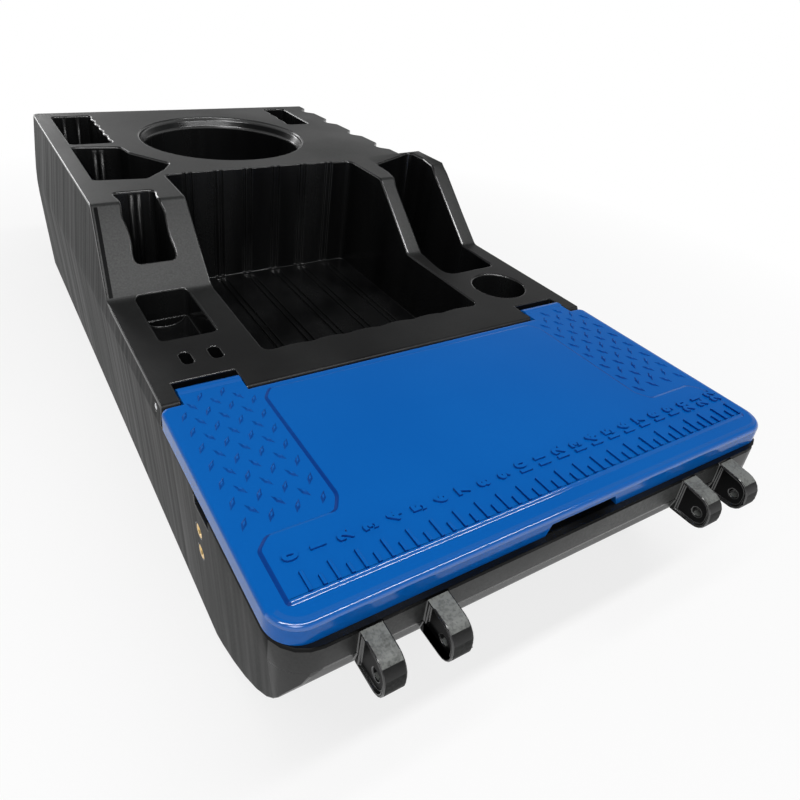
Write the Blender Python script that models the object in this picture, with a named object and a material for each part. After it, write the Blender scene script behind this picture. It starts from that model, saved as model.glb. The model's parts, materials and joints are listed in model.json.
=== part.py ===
"""Utility sled: a hollow moulded hull with storage pockets, and a hinged lid over its front compartment.

Units are metres, +Z is up, +X is the sled's right as seen from the front, and the bow points to -Y.
Stations (y) are measured from the lid's rear edge and heights (z) from the lower deck.
The finished model is moved so that the origin is at the middle of its bottom.
"""
import math

import bmesh
import bpy
from mathutils import Matrix, Vector

# Overall size; a lean is how far a side wall comes in towards its top
HALF_WIDTH = 0.311
SIDE_DRAFT = 0.015
LEFT_LEAN = 0.0125
RIGHT_LEAN = 0.002
RIM_Y = -0.312
DECK_Z = 0.095
BOTTOM_Z = -0.235
PARTING_Z = -0.025
WALL = 0.006

# The gap left between touching pieces, and how far a cutter reaches past what it cuts
GAP = 0.0003
MARGIN = 0.02

# Hull side profile
LEDGE_Z = -0.022
SLOPE_FOOT_Y = 0.240
SLOPE_RUN = 0.107
SLOPE_RADIUS = 0.012
DECK_EDGE_RADIUS = 0.006
REAR_DECK_LEAN = 0.006
REAR_BOTTOM_DRAFT = 0.011
REAR_CORNER_RADIUS = 0.040
BOTTOM_EDGE_RADIUS = 0.020
FRONT_CORNER_RADIUS = 0.038
BACK_CORNER_RADIUS = 0.045
BOW_LENGTH = 0.243
BOW_TOP_Z = -0.052
BOW_POWER = 1.5
BOW_STEPS = 10

# Raised rail on the right arm
RAIL_RISE = 0.014
RAIL_WIDTH = 0.104
RAIL_LENGTH = 0.089
RAIL_RAMP = 0.030

# Fluted right-hand side of the upper deck; an inset is measured inwards from the hull's side
FLUTES_BEHIND_RAIL = 0.009
FLUTE_FRONT_INSET = 0.021
FLUTE_REAR_INSET = 0.043
FLUTE_PITCH = 0.0975
FLUTE_FIRST = 0.030
FLUTE_LENGTH = 0.046
FLUTE_DEPTH = 0.016
FLUTE_FOOT_Z = 0.002
FLUTE_WAVE = ((0.0, 0.0), (0.3, 0.85), (0.45, 1.0), (0.65, 0.9), (1.0, 0.0))

# Hinge
HINGE_Y = 0.012
HINGE_Z = -0.012
NOSE_RADIUS = 0.019
KNUCKLE_RADIUS = 0.0136
PIN_RADIUS = 0.004
PIN_CLEARANCE = 0.0003
PIN_SEAT = 0.026
PIN_CHAMFER = 0.001
CHEEK_THICKNESS = 0.024
TAB_SIDE_GAP = 0.0012
LEFT_TAB_WIDTH = 0.074
RIGHT_TAB_WIDTH = 0.072
HINGE_NOTCH_BEHIND = 0.0195
HINGE_NOTCH_BELOW = 0.0024
HINGE_NOTCH_AHEAD = 0.014
HINGE_BEAM_WALL = 0.016
HINGE_BEAM_BEHIND = 0.035

# Lid
LID_TOP_Z = 0.0018
LID_FRONT_INSET = 0.0055
LID_REAR_GAP = 0.0015
LID_CORNER_RADIUS = 0.030
LID_REAR_CORNER_RADIUS = 0.006
LID_PLATE = 0.0065
LID_SKIRT = 0.006
LID_DRAFT = 0.0015
LID_STEP_DOWN = 0.004
LID_STEP_BACK = 0.0045
HANDHOLD_LEFT_X = -0.046
HANDHOLD_RIGHT_X = 0.060
HANDHOLD_RISE = 0.0127
HANDHOLD_RAMP = 0.010

# Front compartment under the lid
COMPARTMENT_SIDE = 0.049
COMPARTMENT_FRONT_INSET = 0.044
COMPARTMENT_KNEE_Z = -0.085
COMPARTMENT_TOE = 0.083
COMPARTMENT_FLOOR_Z = -0.155
COMPARTMENT_RADIUS = 0.020

# Tow lugs
LUG_CENTRES_X = (0.167, 0.232)
LUG_WIDTH = 0.022
LUG_REACH = 0.039
LUG_TOP_Z = -0.026
LUG_HEIGHT = 0.041
LUG_TOP_SLOPE = 0.004
LUG_TOP_RADIUS = 0.018
LUG_BOTTOM_RADIUS = 0.014
LUG_HOLE_BACK = 0.015
LUG_HOLE_UP = 0.017
LUG_HOLE_RADIUS = 0.005
LUG_RECESS = 0.0025
LUG_RIM = 0.0035

# Cargo well
WELL_LEFT_INSET = 0.144
WELL_RIGHT_INSET = 0.143
WELL_FRONT_Y = 0.054
WELL_LENGTH = 0.397
WELL_FLOOR_Z = -0.095
WELL_CORNER_RADIUS = 0.010
WELL_GROOVE_FIRST = 0.036
WELL_GROOVE_PITCH = 0.051
WELL_GROOVE_SPREAD = 0.0105
GROOVE_WIDTH = 0.006
GROOVE_DEPTH = 0.004
GROOVE_TAPER = 0.001
GROOVE_END = 0.012

# Bucket well, behind the cargo well, and the deck behind it
BUCKET_BEHIND_WELL = 0.0465
BUCKET_RADIUS = 0.150
BUCKET_LIP = 0.005
BUCKET_LEDGE_DEPTH = 0.018
BUCKET_LEDGE_WIDTH = 0.009
BUCKET_TAPER = 0.009
BUCKET_FLOOR_RISE = 0.035
DECK_BEHIND_BUCKET = 0.0795

# Cup holder
CUP_INSET = 0.072
CUP_RADIUS = 0.0405
CUP_TAPER = 0.0045
CUP_FLOOR_Z = -0.080

# Pocket floors and wall flutes
DECK_POCKET_FLOOR_Z = -0.090
ARM_POCKET_FLOOR_Z = -0.090
TRAY_FLOOR_Z = -0.040
TRAY_STEP_Z = -0.078
TRAY_STEP_BEHIND = 0.012
TRAY_STEP_LEDGE = 0.0015
TRAY_STEP_SIDES = 10
SLOT_FLOOR_Z = -0.045
POCKET_RADIUS = 0.007
SCALLOP_DEPTH = 0.003
POCKET_DRAFT = 0.004

# Pockets: outer side, inner side, front and back of the four-sided ones, and corners (inwards, back, radius)
# of the others. Inwards is measured from the hull's nearer side, and back from the station that the pocket is
# given where it is cut.
REAR_LEFT_POCKET = (0.040, 0.110, -0.0045, 0.1905)
REAR_RIGHT_SLOT = (0.095, 0.143, 0.0655, 0.1995)
ARM_POCKET = (0.051, 0.108, 0.035, 0.148)
TRAY = (0.037, 0.111, 0.065, 0.191)
OUTER_SLOT = (0.047, 0.063, 0.005, 0.037)
INNER_SLOT = (0.082, 0.099, 0.005, 0.037)
TONGUE_POCKET = [
    (0.038, -0.1985, POCKET_RADIUS), (0.114, -0.2075, 0.010), (0.151, -0.1695, 0.020),
    (0.169, -0.1395, 0.010), (0.121, -0.0675, 0.015), (0.114, -0.0325, POCKET_RADIUS),
    (0.038, -0.0195, POCKET_RADIUS),
]
LONG_POCKET = [
    (0.125, -0.087, 0.015), (0.030, -0.085, 0.010), (0.029, -0.010, 0.030), (0.030, 0.105, 0.030),
    (0.020, 0.160, 0.020), (0.021, 0.201, POCKET_RADIUS), (0.104, 0.183, POCKET_RADIUS),
    (0.106, 0.140, 0.020), (0.117, 0.095, 0.020), (0.117, -0.008, 0.020), (0.124, -0.055, 0.015),
]

# Side wall notch and brass inserts
NOTCH_FRONT_Y = -0.153
NOTCH_LENGTH = 0.039
NOTCH_FLOOR_Z = -0.039
NOTCH_DEPTH = 0.016
INSERT_PLACES = {"upper": (-0.117, -0.074), "lower": (-0.115, -0.106)}
INSERT_FLANGE_RADIUS = 0.008
INSERT_FLANGE = 0.002
INSERT_SHANK_RADIUS = 0.006
INSERT_LENGTH = 0.014
INSERT_THREAD_RADIUS = 0.004
INSERT_THREAD_DEPTH = 0.011
INSERT_BOSS_RADIUS = 0.014
INSERT_SET_IN = 0.0005

# Vent plug
PLUG_X = 0.0
PLUG_RISE = 0.050
PLUG_HEAD_RADIUS = 0.018
PLUG_HEAD = 0.005
PLUG_SHANK_RADIUS = 0.011
PLUG_LENGTH = 0.016
PLUG_SLOT_WIDTH = 0.003
PLUG_SLOT_DEPTH = 0.002
PLUG_RECESS_RADIUS = 0.023
PLUG_RECESS_DEPTH = 0.010

# Places that follow from the sizes: widths
BOTTOM_HALF_WIDTH = HALF_WIDTH - SIDE_DRAFT
LEFT_DECK_EDGE = HALF_WIDTH - LEFT_LEAN
RIGHT_RAIL_EDGE = HALF_WIDTH - RIGHT_LEAN
FLUTE_FRONT_X = HALF_WIDTH - FLUTE_FRONT_INSET
FLUTE_REAR_X = HALF_WIDTH - FLUTE_REAR_INSET
CHEEK_INNER_X = HALF_WIDTH - CHEEK_THICKNESS
PIN_LENGTH = CHEEK_THICKNESS + max(LEFT_TAB_WIDTH, RIGHT_TAB_WIDTH) + PIN_SEAT
COMPARTMENT_HALF_WIDTH = HALF_WIDTH - COMPARTMENT_SIDE
WELL_LEFT_X = WELL_LEFT_INSET - HALF_WIDTH
WELL_RIGHT_X = HALF_WIDTH - WELL_RIGHT_INSET
CUP_X = HALF_WIDTH - CUP_INSET

# Places that follow from the sizes: lengths, from the bow to the rear
LUG_TIP_Y = RIM_Y - LUG_REACH
LUG_HOLE_Y = LUG_TIP_Y + LUG_HOLE_BACK
LID_FRONT_Y = RIM_Y + LID_FRONT_INSET
LID_REAR_Y = HINGE_Y - NOSE_RADIUS - LID_REAR_GAP
COMPARTMENT_FRONT_Y = RIM_Y + COMPARTMENT_FRONT_INSET
BOW_END_Y = RIM_Y + BOW_LENGTH
HINGE_NOTCH_FRONT_Y = LID_REAR_Y - HINGE_NOTCH_AHEAD
HINGE_NOTCH_REAR_Y = HINGE_Y + HINGE_NOTCH_BEHIND
HINGE_BEAM_FRONT_Y = HINGE_NOTCH_FRONT_Y - HINGE_BEAM_WALL
HINGE_BEAM_REAR_Y = HINGE_Y + HINGE_BEAM_BEHIND
COMPARTMENT_REAR_Y = HINGE_BEAM_FRONT_Y - WALL / 2
CUP_Y = WELL_FRONT_Y + CUP_RADIUS
SLOPE_TOP_Y = SLOPE_FOOT_Y + SLOPE_RUN
RAIL_TOP_END_Y = SLOPE_TOP_Y + RAIL_LENGTH
RAIL_END_Y = RAIL_TOP_END_Y + RAIL_RAMP
FLUTE_START_Y = RAIL_END_Y + FLUTES_BEHIND_RAIL
WELL_REAR_Y = WELL_FRONT_Y + WELL_LENGTH
BUCKET_Y = WELL_REAR_Y + BUCKET_BEHIND_WELL + BUCKET_RADIUS
REAR_Y = BUCKET_Y + BUCKET_RADIUS + DECK_BEHIND_BUCKET
REAR_DECK_Y = REAR_Y - REAR_DECK_LEAN
REAR_BOTTOM_Y = REAR_Y - REAR_BOTTOM_DRAFT

# Places that follow from the sizes: heights
RAIL_Z = DECK_Z + RAIL_RISE
LUG_BOTTOM_Z = LUG_TOP_Z - LUG_HEIGHT
LUG_HOLE_Z = LUG_BOTTOM_Z + LUG_HOLE_UP
HINGE_NOTCH_FLOOR_Z = HINGE_Z - KNUCKLE_RADIUS - HINGE_NOTCH_BELOW
HINGE_BEAM_BOTTOM_Z = HINGE_NOTCH_FLOOR_Z - HINGE_BEAM_WALL
BUCKET_FLOOR_Z = BOTTOM_Z + BUCKET_FLOOR_RISE
PLUG_Z = BOTTOM_Z + PLUG_RISE

# The model's origin, at the middle of its bottom
ORIGIN = Vector((0.0, (REAR_Y + LUG_TIP_Y) / 2, BOTTOM_Z))

# Directions in which a flat outline is laid: its first and second axis, and its thickness
ON_PLAN = Matrix(((1, 0, 0), (0, 1, 0), (0, 0, 1))).to_4x4()
ON_SIDE = Matrix(((0, 0, 1), (1, 0, 0), (0, 1, 0))).to_4x4()
ON_FRONT = Matrix(((1, 0, 0), (0, 0, -1), (0, 1, 0))).to_4x4()

for old in list(bpy.data.objects):
    bpy.data.objects.remove(old, do_unlink=True)
parts = bpy.data.collections.new("utility_sled")
cutters = bpy.data.collections.new("cutters")
for collection in (parts, cutters):
    bpy.context.scene.collection.children.link(collection)


def material(name, colour, roughness, metallic=0.0):
    """A plain Principled material."""
    made = bpy.data.materials.new(name)
    made.use_nodes = True
    shader = made.node_tree.nodes["Principled BSDF"]
    shader.inputs["Base Color"].default_value = (*colour, 1.0)
    shader.inputs["Roughness"].default_value = roughness
    shader.inputs["Metallic"].default_value = metallic
    return made


black_plastic = material("black_polyethylene", (0.012, 0.012, 0.013), 0.45)
blue_plastic = material("blue_polyethylene", (0.008, 0.122, 0.474), 0.35)
brass = material("brass", (0.70, 0.48, 0.18), 0.30, 1.0)
steel = material("steel", (0.62, 0.63, 0.65), 0.25, 1.0)


def add_object(name, mesh, collection, finish=None, place=ORIGIN):
    """Put a mesh in the scene, as a part with its finish or as a cutter."""
    made = bpy.data.objects.new(name, mesh)
    made.location = place - ORIGIN
    collection.objects.link(made)
    if finish:
        mesh.materials.clear()
        mesh.materials.append(finish)
    else:
        made.hide_render = True
        made.display_type = "WIRE"
    return made


# Outlines


def arc(centre, radius, start, end, steps):
    """Points on an arc, by angles in degrees."""
    points = []
    for step in range(steps + 1):
        angle = math.radians(start + (end - start) * step / steps)
        points.append((centre[0] + radius * math.cos(angle), centre[1] + radius * math.sin(angle)))
    return points


def rounded(corners, steps=3):
    """Turn corners (x, y, radius) into points, with an arc at each corner that has a radius."""
    points = []
    for index, corner in enumerate(corners):
        here = Vector(corner[:2])
        radius = corner[2] if len(corner) > 2 else 0.0
        if radius <= 0.0:
            points.append(tuple(here))
            continue
        before = (Vector(corners[index - 1][:2]) - here).normalized()
        after = (Vector(corners[(index + 1) % len(corners)][:2]) - here).normalized()
        half = before.angle(after) / 2
        reach = radius / math.tan(half)
        centre = here + (before + after).normalized() * (radius / math.sin(half))
        start = here + before * reach - centre
        turn = start.angle_signed(here + after * reach - centre)
        for step in range(steps + 1):
            spoke = start.copy()
            spoke.rotate(Matrix.Rotation(-turn * step / steps, 2))
            points.append(tuple(centre + spoke))
    return points


def area(points):
    """Signed area of an outline, positive when it runs anticlockwise."""
    total = 0.0
    for index, point in enumerate(points):
        following = points[(index + 1) % len(points)]
        total += point[0] * following[1] - following[0] * point[1]
    return total / 2


def grown(corners, distance):
    """Move every side of an outline outwards by a distance, keeping its corner radii."""
    outwards = 1.0 if area(corners) > 0 else -1.0
    moved = []
    for index, corner in enumerate(corners):
        here = Vector(corner[:2])
        before = (here - Vector(corners[index - 1][:2])).normalized()
        after = (Vector(corners[(index + 1) % len(corners)][:2]) - here).normalized()
        normal_before = Vector((before.y, -before.x)) * outwards
        normal_after = Vector((after.y, -after.x)) * outwards
        middle = normal_before + normal_after
        shift = middle * (distance * 2 / middle.length_squared)
        moved.append((*(here + shift), *corner[2:]))
    return moved


def scalloped(start, end, count, depth):
    """Points from start to end with shallow, slightly uneven waves standing to the left of the line."""
    start = Vector(start)
    along = Vector(end) - start
    side = Vector((-along.y, along.x)).normalized() * depth
    pitch = along / (count + 0.5)
    points = []
    for index in range(count):
        foot = start + pitch * (index + 0.25)
        height = 0.8 + 0.4 * (index * 0.618 % 1.0)
        for place, lift in ((0.05, 0.0), (0.25, 0.7), (0.5, 1.0), (0.75, 0.7), (0.95, 0.0)):
            points.append(tuple(foot + pitch * place + side * lift * height))
    return points


# Solids


def prism(outline, low, high, laid=ON_PLAN, low_draft=0.0, high_draft=0.0):
    """A mesh of a flat outline given a thickness from low to high; a draft draws that end in."""
    curve = bpy.data.curves.new("outline", "CURVE")
    curve.dimensions = "2D"
    curve.fill_mode = "BOTH"
    curve.extrude = (high - low) / 2
    spline = curve.splines.new("POLY")
    spline.points.add(len(outline) - 1)
    for point, place in zip(spline.points, outline):
        point.co = (place[0], place[1], 0.0, 1.0)
    spline.use_cyclic_u = True
    holder = bpy.data.objects.new("outline", curve)
    bpy.context.scene.collection.objects.link(holder)
    bpy.context.view_layer.update()
    evaluated = holder.evaluated_get(bpy.context.evaluated_depsgraph_get())
    mesh = bpy.data.meshes.new_from_object(evaluated)
    bpy.data.objects.remove(holder, do_unlink=True)
    middle = Vector((sum(p[0] for p in outline), sum(p[1] for p in outline))) / len(outline)
    reach = max((Vector(p) - middle).length for p in outline)
    shape = bmesh.new()
    shape.from_mesh(mesh)
    bmesh.ops.remove_doubles(shape, verts=shape.verts, dist=0.00001)
    bmesh.ops.dissolve_limit(shape, angle_limit=math.radians(0.1), verts=shape.verts, edges=shape.edges)
    for vertex in shape.verts:
        shrink = 1.0 - (low_draft if vertex.co.z < 0 else high_draft) / reach
        vertex.co.x = middle.x + (vertex.co.x - middle.x) * shrink
        vertex.co.y = middle.y + (vertex.co.y - middle.y) * shrink
    bmesh.ops.translate(shape, verts=shape.verts, vec=(0, 0, (low + high) / 2))
    bmesh.ops.transform(shape, verts=shape.verts, matrix=laid)
    bmesh.ops.translate(shape, verts=shape.verts, vec=-ORIGIN)
    bmesh.ops.recalc_face_normals(shape, faces=shape.faces)
    shape.to_mesh(mesh)
    shape.free()
    return mesh


def turned(profile, axis="Z", segments=48):
    """A mesh turned round an axis through its own origin, from (radius, place along the axis) pairs."""
    shape = bmesh.new()
    spine = [shape.verts.new((radius, 0, place)) for radius, place in profile]
    edges = [shape.edges.new(pair) for pair in zip(spine, spine[1:])]
    bmesh.ops.spin(shape, geom=spine + edges, cent=(0, 0, 0), axis=(0, 0, 1), angle=math.tau,
                   steps=segments, use_merge=True)
    bmesh.ops.remove_doubles(shape, verts=shape.verts, dist=0.00001)
    turns = {"X": Matrix.Rotation(math.pi / 2, 4, "Y"), "Y": Matrix.Rotation(-math.pi / 2, 4, "X")}
    bmesh.ops.transform(shape, verts=shape.verts, matrix=turns.get(axis, Matrix.Identity(4)))
    bmesh.ops.recalc_face_normals(shape, faces=shape.faces)
    mesh = bpy.data.meshes.new("turned")
    shape.to_mesh(mesh)
    shape.free()
    return mesh


def box(low, high):
    """A box between two corners."""
    low = Vector(low)
    high = Vector(high)
    shape = bmesh.new()
    bmesh.ops.create_cube(shape, size=1.0)
    bmesh.ops.scale(shape, verts=shape.verts, vec=high - low)
    bmesh.ops.translate(shape, verts=shape.verts, vec=(low + high) / 2 - ORIGIN)
    mesh = bpy.data.meshes.new("box")
    shape.to_mesh(mesh)
    shape.free()
    return mesh


def wedge(points):
    """The convex solid round a few points."""
    shape = bmesh.new()
    for point in points:
        shape.verts.new(Vector(point) - ORIGIN)
    bmesh.ops.convex_hull(shape, input=shape.verts)
    bmesh.ops.recalc_face_normals(shape, faces=shape.faces)
    mesh = bpy.data.meshes.new("wedge")
    shape.to_mesh(mesh)
    shape.free()
    return mesh


def merged(meshes):
    """One mesh of several that don't touch."""
    shape = bmesh.new()
    for mesh in meshes:
        shape.from_mesh(mesh)
    mesh = bpy.data.meshes.new("merged")
    shape.to_mesh(mesh)
    shape.free()
    return mesh


def cutter(name, mesh, place=ORIGIN):
    """A shape that only cuts, joins or trims a part."""
    return add_object(name, mesh, cutters, place=place)


boolean_steps = []


def combine(target, tool, operation="DIFFERENCE"):
    """Note a Boolean step. The modifiers are added at the end, so that they are worked out once."""
    boolean_steps.append((target, tool, operation))


def side_x(z, side):
    """Where the drafted side wall stands at a height; side is -1 on the left and 1 on the right."""
    if z < PARTING_Z:
        share = (PARTING_Z - z) / (PARTING_Z - BOTTOM_Z)
        return side * (HALF_WIDTH + (BOTTOM_HALF_WIDTH - HALF_WIDTH) * share)
    edge = LEFT_DECK_EDGE if side < 0 else RIGHT_RAIL_EDGE
    return side * (HALF_WIDTH + (edge - HALF_WIDTH) * (z - PARTING_Z) / (DECK_Z - PARTING_Z))


# Hull outlines


def bow_curve():
    """The bow's rising curve, from the keel to just under the lid's ledge."""
    length = BOW_END_Y - RIM_Y
    height = BOW_TOP_Z - BOTTOM_Z
    points = []
    for step in range(1, BOW_STEPS + 1):
        angle = math.pi / 2 * (1 - step / BOW_STEPS)
        share_back = max(math.cos(angle), 0.0) ** (2 / BOW_POWER)
        share_down = max(math.sin(angle), 0.0) ** (2 / BOW_POWER)
        points.append((BOW_END_Y - length * share_back, BOW_TOP_Z - height * share_down))
    return points


def hull_profile():
    """Side view of the hull, anticlockwise from the keel's front end."""
    nose_top = math.degrees(math.asin(-HINGE_Z / NOSE_RADIUS))
    nose = arc((HINGE_Y, HINGE_Z), NOSE_RADIUS, 180 - nose_top, 180, 3)
    return [
        (BOW_END_Y, BOTTOM_Z),
        (REAR_BOTTOM_Y, BOTTOM_Z, REAR_CORNER_RADIUS),
        (REAR_Y, PARTING_Z),
        (REAR_DECK_Y, DECK_Z, DECK_EDGE_RADIUS),
        (SLOPE_TOP_Y, DECK_Z, SLOPE_RADIUS),
        (SLOPE_FOOT_Y, 0.0, SLOPE_RADIUS),
        *nose,
        (HINGE_Y - NOSE_RADIUS, LEDGE_Z),
        (RIM_Y, LEDGE_Z),
        *reversed(bow_curve()),
    ]


ABOVE = RAIL_Z + MARGIN


def front_profile():
    """Front view of the hull, tall enough to clear the rail."""
    return [
        (-BOTTOM_HALF_WIDTH, BOTTOM_Z, BOTTOM_EDGE_RADIUS),
        (BOTTOM_HALF_WIDTH, BOTTOM_Z, BOTTOM_EDGE_RADIUS),
        (HALF_WIDTH, PARTING_Z),
        (side_x(ABOVE, 1), ABOVE),
        (side_x(ABOVE, -1), ABOVE),
        (-HALF_WIDTH, PARTING_Z),
    ]


def plan_outline():
    """Top view of the hull."""
    return [
        (-HALF_WIDTH, RIM_Y, FRONT_CORNER_RADIUS),
        (HALF_WIDTH, RIM_Y, FRONT_CORNER_RADIUS),
        (HALF_WIDTH, REAR_Y, BACK_CORNER_RADIUS),
        (-HALF_WIDTH, REAR_Y, BACK_CORNER_RADIUS),
    ]


def shell(name, collection, inset, finish=None):
    """The hull's outer form, as the common part of its side, front and top views."""
    side = prism(rounded(grown(hull_profile(), -inset)), -HALF_WIDTH - MARGIN, HALF_WIDTH + MARGIN, ON_SIDE)
    made = add_object(name, side, collection, finish)
    front = prism(rounded(grown(front_profile(), -inset), 4), -REAR_Y - MARGIN, -RIM_Y + MARGIN, ON_FRONT)
    combine(made, cutter(name + "_front_view", front), "INTERSECT")
    top = prism(rounded(grown(plan_outline(), -inset), 5), BOTTOM_Z - MARGIN, ABOVE + MARGIN)
    combine(made, cutter(name + "_top_view", top), "INTERSECT")
    return made


hull = shell("hull", parts, 0.0, black_plastic)
cavity = shell("cavity", cutters, WALL)


def hollow(name, air, wall, air_place=ORIGIN):
    """Cut a shape out of the hull, and keep the hull's material round it in the cavity."""
    combine(hull, cutter(name, air, air_place))
    combine(cavity, cutter(name + "_wall", wall, air_place))


# Raised rail on the right arm

slope_rise = DECK_Z / (SLOPE_TOP_Y - SLOPE_FOOT_Y)
rail_crest_y = SLOPE_TOP_Y + (RAIL_Z - DECK_Z) / slope_rise
rail_start_y = SLOPE_TOP_Y - SLOPE_RADIUS
rail_start_z = DECK_Z - slope_rise * SLOPE_RADIUS
sunk_z = rail_start_z - WALL
rail_points = []
rail_inner_x = RIGHT_RAIL_EDGE - RAIL_WIDTH
for x, crest_z in ((rail_inner_x, DECK_Z - GAP), (RIGHT_RAIL_EDGE, RAIL_Z)):
    rail_points += [(x, rail_start_y, rail_start_z), (x, rail_crest_y, crest_z), (x, RAIL_TOP_END_Y, crest_z),
                    (x, RAIL_END_Y, DECK_Z - GAP), (x, rail_start_y, sunk_z), (x, RAIL_END_Y, sunk_z)]
combine(hull, cutter("arm_rail", wedge(rail_points)), "UNION")

# Tow lugs, each with a recess in both cheeks and one hole through them all

lug_root_y = RIM_Y + WALL / 2
lug_tip_top_z = LUG_TOP_Z - LUG_TOP_SLOPE
largest_radius = (lug_tip_top_z - LUG_BOTTOM_Z) / 2
lug_top_radius = min(LUG_TOP_RADIUS, largest_radius)
lug_bottom_radius = min(LUG_BOTTOM_RADIUS, largest_radius)
lug_corners = [
    (lug_root_y, LUG_BOTTOM_Z), (lug_root_y, LUG_TOP_Z),
    (LUG_TIP_Y, lug_tip_top_z, lug_top_radius), (LUG_TIP_Y, LUG_BOTTOM_Z, lug_bottom_radius),
]
recess_root_y = RIM_Y - LUG_RIM
recess_tip_y = LUG_TIP_Y + LUG_RIM
recess_corners = [
    (recess_root_y, LUG_BOTTOM_Z + LUG_RIM), (recess_root_y, LUG_TOP_Z - LUG_RIM),
    (recess_tip_y, lug_tip_top_z - LUG_RIM, lug_top_radius - LUG_RIM),
    (recess_tip_y, LUG_BOTTOM_Z + LUG_RIM, lug_bottom_radius - LUG_RIM),
]
lugs = []
lug_recesses = []
for centre in (-LUG_CENTRES_X[1], -LUG_CENTRES_X[0], *LUG_CENTRES_X):
    left = centre - LUG_WIDTH / 2
    right = centre + LUG_WIDTH / 2
    lugs.append(prism(rounded(lug_corners, 5), left, right, ON_SIDE))
    lug_recesses.append(prism(rounded(recess_corners, 4), left - LUG_RECESS, left + LUG_RECESS, ON_SIDE))
    lug_recesses.append(prism(rounded(recess_corners, 4), right - LUG_RECESS, right + LUG_RECESS, ON_SIDE))
combine(hull, cutter("tow_lugs", merged(lugs)), "UNION")
combine(hull, cutter("tow_lug_recesses", merged(lug_recesses)))
lug_bore = LUG_CENTRES_X[1] + LUG_WIDTH
lug_hole = [(0.0, -lug_bore), (LUG_HOLE_RADIUS, -lug_bore), (LUG_HOLE_RADIUS, lug_bore), (0.0, lug_bore)]
combine(hull, cutter("tow_lug_hole", turned(lug_hole, "X", 16), Vector((0.0, LUG_HOLE_Y, LUG_HOLE_Z))))


# Pockets in the decks: each is an outline with a floor, and the hull keeps a wall round it


def four_sides(pocket, side, station):
    """Left, right, front and back of a pocket that is measured from a side wall and a station."""
    outer, inner, front, back = pocket
    left, right = sorted((side * (HALF_WIDTH - outer), side * (HALF_WIDTH - inner)))
    return left, right, station + front, station + back


def placed(corners, side, station):
    """Corners (x, y, radius) of a pocket that is measured from a side wall and a station."""
    return [(side * (HALF_WIDTH - inwards), station + back, radius) for inwards, back, radius in corners]


def scalloped_pocket(left, right, front, back, left_lobes=0, right_lobes=0):
    """A four-sided pocket with shallow lobes down its left and right edges."""
    corners = [(left, front, POCKET_RADIUS), (right, front, POCKET_RADIUS)]
    if right_lobes:
        corners += scalloped((right, front), (right, back), right_lobes, SCALLOP_DEPTH)
    corners += [(right, back, POCKET_RADIUS), (left, back, POCKET_RADIUS)]
    if left_lobes:
        corners += scalloped((left, back), (left, front), left_lobes, SCALLOP_DEPTH)
    return corners


groove_count = int((WELL_RIGHT_X - WELL_LEFT_X - 2 * WELL_GROOVE_FIRST) / WELL_GROOVE_PITCH) + 1
first_groove_x = WELL_LEFT_X + WELL_GROOVE_FIRST
well_grooves = [first_groove_x + WELL_GROOVE_PITCH * index for index in range(groove_count)]


def well_outline():
    """Plan of the cargo well: lobes along its front edge, and pairs of grooves down its rear wall."""
    front_left = (WELL_LEFT_X, WELL_FRONT_Y)
    front_right = (WELL_RIGHT_X, WELL_FRONT_Y)
    corners = [(*front_left, WELL_CORNER_RADIUS)]
    corners += scalloped(front_left, front_right, groove_count, SCALLOP_DEPTH)
    corners += [(*front_right, WELL_CORNER_RADIUS), (WELL_RIGHT_X, WELL_REAR_Y, WELL_CORNER_RADIUS)]
    for middle in reversed(well_grooves):
        for centre in (middle + WELL_GROOVE_SPREAD / 2, middle - WELL_GROOVE_SPREAD / 2):
            right = centre + GROOVE_WIDTH / 2
            left = centre - GROOVE_WIDTH / 2
            corners += [(right, WELL_REAR_Y), (right - GROOVE_TAPER, WELL_REAR_Y + GROOVE_DEPTH),
                        (left + GROOVE_TAPER, WELL_REAR_Y + GROOVE_DEPTH), (left, WELL_REAR_Y)]
    corners += [(WELL_LEFT_X, WELL_REAR_Y, WELL_CORNER_RADIUS)]
    return corners


def add_pocket(name, corners, floor, plain=None, under_floor=WALL):
    """Sink a pocket of this outline; plain is its outline without small lobes."""
    air = prism(rounded(corners), floor, ABOVE, low_draft=POCKET_DRAFT)
    wall = prism(rounded(grown(plain or corners, WALL)), floor - under_floor, ABOVE, low_draft=POCKET_DRAFT)
    hollow(name, air, wall)


rear_left = four_sides(REAR_LEFT_POCKET, -1, BUCKET_Y)
add_pocket("rear_left_pocket", scalloped_pocket(*rear_left, right_lobes=5), DECK_POCKET_FLOOR_Z,
           scalloped_pocket(*rear_left))
rear_right = four_sides(REAR_RIGHT_SLOT, 1, BUCKET_Y)
add_pocket("rear_right_slot", scalloped_pocket(*rear_right, left_lobes=3), DECK_POCKET_FLOOR_Z,
           scalloped_pocket(*rear_right))
arm = four_sides(ARM_POCKET, -1, SLOPE_FOOT_Y)
add_pocket("arm_pocket", scalloped_pocket(*arm, 2, 2), ARM_POCKET_FLOOR_Z, scalloped_pocket(*arm))
add_pocket("tongue_pocket", placed(TONGUE_POCKET, -1, BUCKET_Y), DECK_POCKET_FLOOR_Z)
add_pocket("long_pocket", placed(LONG_POCKET, 1, SLOPE_FOOT_Y), ARM_POCKET_FLOOR_Z)
tray_left, tray_right, tray_front, tray_back = four_sides(TRAY, -1, WELL_FRONT_Y)
add_pocket("tray", scalloped_pocket(tray_left, tray_right, tray_front, tray_back), TRAY_FLOOR_Z)
add_pocket("outer_slot", scalloped_pocket(*four_sides(OUTER_SLOT, -1, WELL_FRONT_Y)), SLOT_FLOOR_Z)
add_pocket("inner_slot", scalloped_pocket(*four_sides(INNER_SLOT, -1, WELL_FRONT_Y)), SLOT_FLOOR_Z)
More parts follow.
